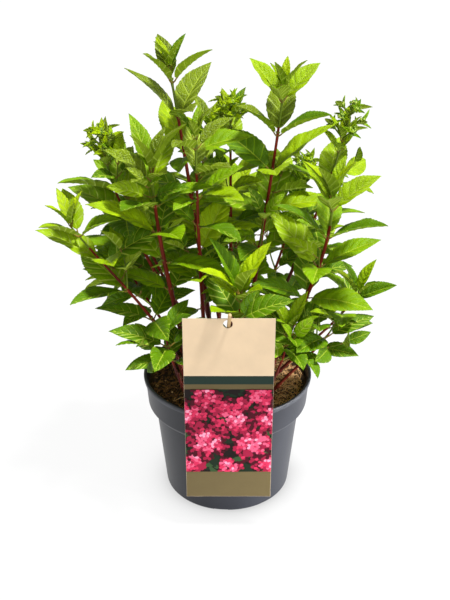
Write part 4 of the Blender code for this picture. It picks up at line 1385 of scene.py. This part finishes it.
def strewn(chance, reach):
    """A random place within reach of the axis."""
    distance = reach * math.sqrt(chance.random())
    turn = chance.uniform(0.0, 2.0 * math.pi)
    return distance * math.cos(turn), distance * math.sin(turn)


def fibre_patches(rim, chance):
    """Loose curled fibres that lie over the bed in humps."""
    fibres = []
    for _ in range(FIBRES):
        x, y = strewn(chance, rim - FIBRE_FROM_WALL)
        heading = chance.uniform(0.0, 2.0 * math.pi)
        curl = chance.gauss(0.0, FIBRE_CURL)
        length = chance.uniform(*FIBRE_LENGTH)
        hump = chance.uniform(*FIBRE_HUMP)
        points = []
        for step in range(FIBRE_PARTS + 1):
            lift = hump * math.sin(math.pi * step / FIBRE_PARTS)
            points.append((x, y, bed_height(x, y) + FIBRE_LIFT + lift))
            x += math.cos(heading) * length / FIBRE_PARTS
            y += math.sin(heading) * length / FIBRE_PARTS
            heading += curl / FIBRE_PARTS
        if math.hypot(x, y) < rim - FIBRE_END_FROM_WALL:
            radius = chance.uniform(*FIBRE_RADIUS)
            # pale fibres whose share rises from left to right: painted light on the right, painted shade on
            # the left
            pale = chance.random() < mix(*PAINTED_LIGHT_PALE_SHARE, 0.5 + 0.5 * x / rim)
            look = 0 if pale else chance.choice((1, 2))
            fibres.append(tube_patch(points, [radius] * len(points), FIBRE_SIDES, look))
    return fibres


def crumb_patches(rim, chance):
    """Rough bits of bark that lie on the bed."""
    crumbs = []
    for _ in range(CRUMBS):
        x, y = strewn(chance, rim - CRUMB_FROM_WALL)
        ball = ball_patch((0.0, 0.0, 0.0), 1.0, chance.choice(CRUMB_LOOKS))
        size = np.array([chance.uniform(*CRUMB_SIZE) for _ in range(3)])
        rough = np.array([chance.uniform(*CRUMB_ROUGHNESS) for _ in range(len(ball.points))])[:, None]
        place = np.array([x, y, bed_height(x, y) + CRUMB_LIFT])
        crumbs.append(ball._replace(points=ball.points * rough * size + place))
    return crumbs


def make_fill():
    """The bed of coir with loose fibres and bits of bark on it."""
    rim = fill_radius()
    make_bed(rim)
    fibre_looks = [surface(*row) for row in FIBRE_SURFACES]
    chance = random.Random(FILL_SEED)
    make_piece("coir_fibres", fibre_patches(rim, chance), fibre_looks)
    make_piece("coir_crumbs", crumb_patches(rim, chance), fibre_looks)


def make_old_wood():
    foot = FILL_TOP + GAP
    profile = [(WOOD_FLARE_RADIUS, foot)]
    profile += [(radius * WOOD_RADIUS, foot + height * WOOD_HEIGHT)
                for radius, height in (WOOD_SWELL, WOOD_WAIST)]
    profile += [(WOOD_RADIUS, foot + WOOD_HEIGHT - WOOD_EDGE),
                (WOOD_CUT_SHARE * WOOD_RADIUS, foot + WOOD_HEIGHT - WOOD_CROWN)]
    points = []
    radii = []
    for row in range(WOOD_BARK.rows):
        place = row / (WOOD_BARK.rows - 1) * (len(profile) - 1)
        index = min(int(place), len(profile) - 2)
        radius, height = (mix(low, high, place - index)
                          for low, high in zip(profile[index], profile[index + 1]))
        points.append((*WOOD_PLACE, height))
        radii.append(radius)
    patch = tube_patch(points, radii, WOOD_BARK.sides, 0, bark_relief(WOOD_BARK))
    make_piece("old_wood_bark", [patch], [surface(*WOOD_SURFACE)], ["old_wood"])


# Card and stick

def flat_piece(name, shapes, materials, proud, layer=0.0):
    """Flat printed shapes on the card's front; a shape is its outline and its look.

    An outline's points are metres across from the middle of the card's top edge and down from it. Each
    shape lies one layer higher than the one before, so that they can overlap.
    """
    points = []
    faces = []
    for index, (outline, _) in enumerate(shapes):
        faces.append(tuple(range(len(points), len(points) + len(outline))))
        raised = CARD_FRONT * (0.5 * CARD_THICKNESS + (proud + layer * index))
        for across, down in outline:
            points.append(tuple(Vector(CARD_TOP) + Vector((across, 0.0, 0.0)) - CARD_UP * down + raised))
    return new_piece(name, points, faces, [look for _, look in shapes], materials)


def band(left, right, top, bottom):
    return [(left, top), (left, bottom), (right, bottom), (right, top)]


def petal(across, down, bearing, length, width):
    cosine, sine = math.cos(bearing), math.sin(bearing)
    full, narrow = PETAL_WAIST
    outline = []
    for step in range(PETAL_STEPS):
        turn = 2.0 * math.pi * step / PETAL_STEPS
        out = length * (0.5 - 0.5 * math.cos(turn))
        aside = 0.5 * width * math.sin(turn) * (full + narrow * out / length)
        outline.append((across + out * cosine - aside * sine, down + out * sine + aside * cosine))
    return outline


def floret(across, down, size, looks, chance):
    """A ring of petals, as pairs of outline and look."""
    start = chance.uniform(0.0, 2.0 * math.pi)
    shapes = []
    for index in range(FLORET_PETALS):
        loose = chance.uniform(-PETAL_LOOSE_TURN, PETAL_LOOSE_TURN)
        bearing = start + 2.0 * math.pi * index / FLORET_PETALS + loose
        length = size * chance.uniform(*PETAL_LENGTHS)
        shapes.append((petal(across, down, bearing, length, PETAL_WIDTH * size), chance.choice(looks)))
    return shapes


def head_spots(middle, reach, spacing, wanted, chance):
    """Places strewn in a circle, no two closer than the spacing."""
    spots = []
    for _ in range(FLORET_TRIES * wanted):
        turn = chance.uniform(0.0, 2.0 * math.pi)
        out = reach * math.sqrt(chance.random())
        spot = (middle[0] + out * math.cos(turn), middle[1] + out * math.sin(turn))
        if all(math.dist(spot, other) > spacing for other in spots):
            spots.append(spot)
        if len(spots) == wanted:
            break
    return spots


def florets():
    """Leaves, then heads of florets that grow lighter towards each head's upper middle."""
    chance = random.Random(FLOWERS_SEED)
    half = 0.5 * CARD_WIDTH - CARD_EDGE
    shapes = []
    for _ in range(PRINT_LEAVES):
        across, down = chance.uniform(-half, half), chance.uniform(FLOWERS_TOP, FLOWERS_FOOT)
        leaf = petal(across, down, chance.uniform(0.0, 2.0 * math.pi), *PRINT_LEAF)
        shapes.append((leaf, chance.choice(PRINT_LEAF_LOOKS)))
    for across, down, radius in HEADS:
        for share, size, density, looks in FLORET_LAYERS:
            reach = share * radius
            wanted = max(FLORETS_LEAST, round(density * math.pi * (100.0 * reach) ** 2))
            middle = (across, down - HEAD_LIGHT_UP * (radius - reach))
            for spot in head_spots(middle, reach, FLORET_SPACING * size, wanted, chance):
                shapes.extend(floret(*spot, size, looks, chance))
    return [([(max(-half, min(half, across)), max(FLOWERS_TOP, min(FLOWERS_FOOT, down)))
              for across, down in outline], look) for outline, look in shapes]


def make_card(card):
    """The card's own stock, with its printed bands and flowers just proud of its front."""
    card.data.materials.clear()
    card.data.materials.append(paper(*CARD_STOCK))
    inner = 0.5 * CARD_WIDTH - CARD_EDGE
    radius = CARD_HOLE_RADIUS * PRINT_HOLE_SHARE
    hole = [(radius * math.cos(turn) - CARD_TOP[0], CARD_HOLE_DROP + radius * math.sin(turn))
            for turn in np.linspace(-0.5 * math.pi, 1.5 * math.pi, PRINT_HOLE_STEPS + 1)]
    middle = hole[0][0]
    lowest = PRINT_HOLE_STEPS // 2
    left_half = [(middle, CARD_EDGE), (-inner, CARD_EDGE), (-inner, GREEN_TOP), (middle, GREEN_TOP)]
    right_half = [(middle, GREEN_TOP), (inner, GREEN_TOP), (inner, CARD_EDGE), (middle, CARD_EDGE)]
    shapes = [(left_half + hole[lowest:], CREAM), (right_half + hole[:lowest + 1], CREAM),
              (band(-inner, inner, GREEN_TOP, OLIVE_TOP), GREEN),
              (band(-inner, inner, OLIVE_TOP, FLOWERS_TOP), TAN),
              (band(-inner, inner, FLOWERS_TOP, FLOWERS_FOOT), DARK),
              (band(-inner, inner, FLOWERS_FOOT, CARD_LENGTH - CARD_EDGE), TAN)]
    flat_piece("card_print", shapes, [paper(*row) for row in PRINT_COLOURS], PRINT_PROUD)
    flat_piece("card_flowers", florets(), [paper(*row) for row in PETAL_COLOURS], FLOWERS_PROUD,
               FLOWERS_LAYER)


def make_stick():
    """The stick from the fill through the card's hole, whose upper edge hangs just above it."""
    foot = Vector((*STICK_FOOT, FILL_TOP + GAP))
    hole = Vector(CARD_TOP) - CARD_UP * CARD_HOLE_DROP
    along = (hole - foot).normalized()
    slant = abs(along.dot(CARD_FRONT))
    half_slot = STICK_RADIUS / slant + 0.5 * CARD_THICKNESS * math.sqrt(1.0 - slant * slant) / slant
    crossing = hole + CARD_UP * (CARD_HOLE_RADIUS - half_slot - GAP)
    along = (crossing - foot).normalized()
    tip = crossing + along * STICK_BEYOND_CARD
    points = [foot.lerp(tip, step / STICK_PARTS) for step in range(STICK_PARTS)]
    points += [tip - along * STICK_END, tip]
    body, shoulder, end = (STICK_RADIUS * share for share in STICK_SHARES)
    radii = [body] * STICK_PARTS + [shoulder, end]
    patch = tube_patch(points, radii, STICK_GRAIN.sides, 0, bark_relief(STICK_GRAIN))
    make_piece("stick_wood", [patch], [surface(*STICK_SURFACE)], ["stick"])


# Stage

def foot_shade(tree):
    """The floor's glow, which is even apart from a soft shade round the pot's foot."""
    place = add_node(tree, "TexCoord", {}).outputs["Object"]
    value = add_node(tree, "VectorMath", {0: place}, operation="LENGTH").outputs["Value"]
    for operation, number in (("SUBTRACT", BASE_RADIUS - BASE_EDGE), ("MULTIPLY", -1.0 / FOOT_SHADE_REACH),
                              ("EXPONENT", 0.0), ("MULTIPLY", -FOOT_SHADE), ("ADD", 1.0),
                              ("MULTIPLY", FLOOR_GLOW)):
        value = add_node(tree, "Math", {0: value, 1: number}, operation=operation).outputs["Value"]
    return value


def make_floor():
    bpy.ops.mesh.primitive_plane_add(size=FLOOR_SIZE, location=(0.0, 0.0, -FLOOR_DROP))
    floor = bpy.context.object
    floor.name = "floor"
    material, tree, shader = new_material("floor_paper")
    set_sockets(tree, shader, {"Base Color": (FLOOR_GREY, FLOOR_GREY, FLOOR_GREY, 1.0), "Roughness": 1.0,
                               "Specular IOR Level": 0.0, "Emission Color": (1.0, 1.0, 1.0, 1.0),
                               "Emission Strength": foot_shade(tree)})
    floor.data.materials.append(material)


def make_stage():
    """Floor, white world, sun and lamps."""
    make_floor()
    world = bpy.data.worlds.new("studio")
    world.use_nodes = True
    set_sockets(world.node_tree, world.node_tree.nodes["Background"],
                {"Color": (1.0, 1.0, 1.0, 1.0), "Strength": WORLD_STRENGTH})
    bpy.context.scene.world = world
    sun = bpy.data.lights.new("key", "SUN")
    sun.energy = SUN_ENERGY
    sun.angle = SUN_ANGLE
    new_object("key", sun).rotation_euler = SUN_TILT
    for name, kind, energy, size, place, target in LAMPS:
        lamp = bpy.data.lights.new(name, kind)
        lamp.energy = energy
        if kind == "SPOT":
            lamp.spot_size = size
            lamp.spot_blend = SPOT_BLEND
            lamp.shadow_soft_size = SPOT_RADIUS
        else:
            lamp.size = size
        item = new_object(name, lamp)
        item.location = place
        item.rotation_euler = (Vector(place) - Vector(target)).to_track_quat("Z", "Y").to_euler()
    bpy.context.scene.view_settings.view_transform = "Standard"


def make_camera():
    data = bpy.data.cameras.new("camera")
    data.sensor_fit = "VERTICAL"
    data.sensor_height = CAMERA_SENSOR
    data.lens = CAMERA_LENS
    camera = new_object("camera", data)
    camera.location = CAMERA_PLACE
    camera.rotation_euler = (0.5 * math.pi - CAMERA_DOWN, 0.0, 0.0)
    bpy.context.scene.camera = camera


for item in list(bpy.data.objects):
    bpy.data.objects.remove(item, do_unlink=True)
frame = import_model()
make_camera()
grow_plant(frame["nodes"])
make_pot()
make_fill()
make_old_wood()
make_card(frame["nodes"]["card"])
make_stick()
make_stage()
bpy.context.view_layer.update()
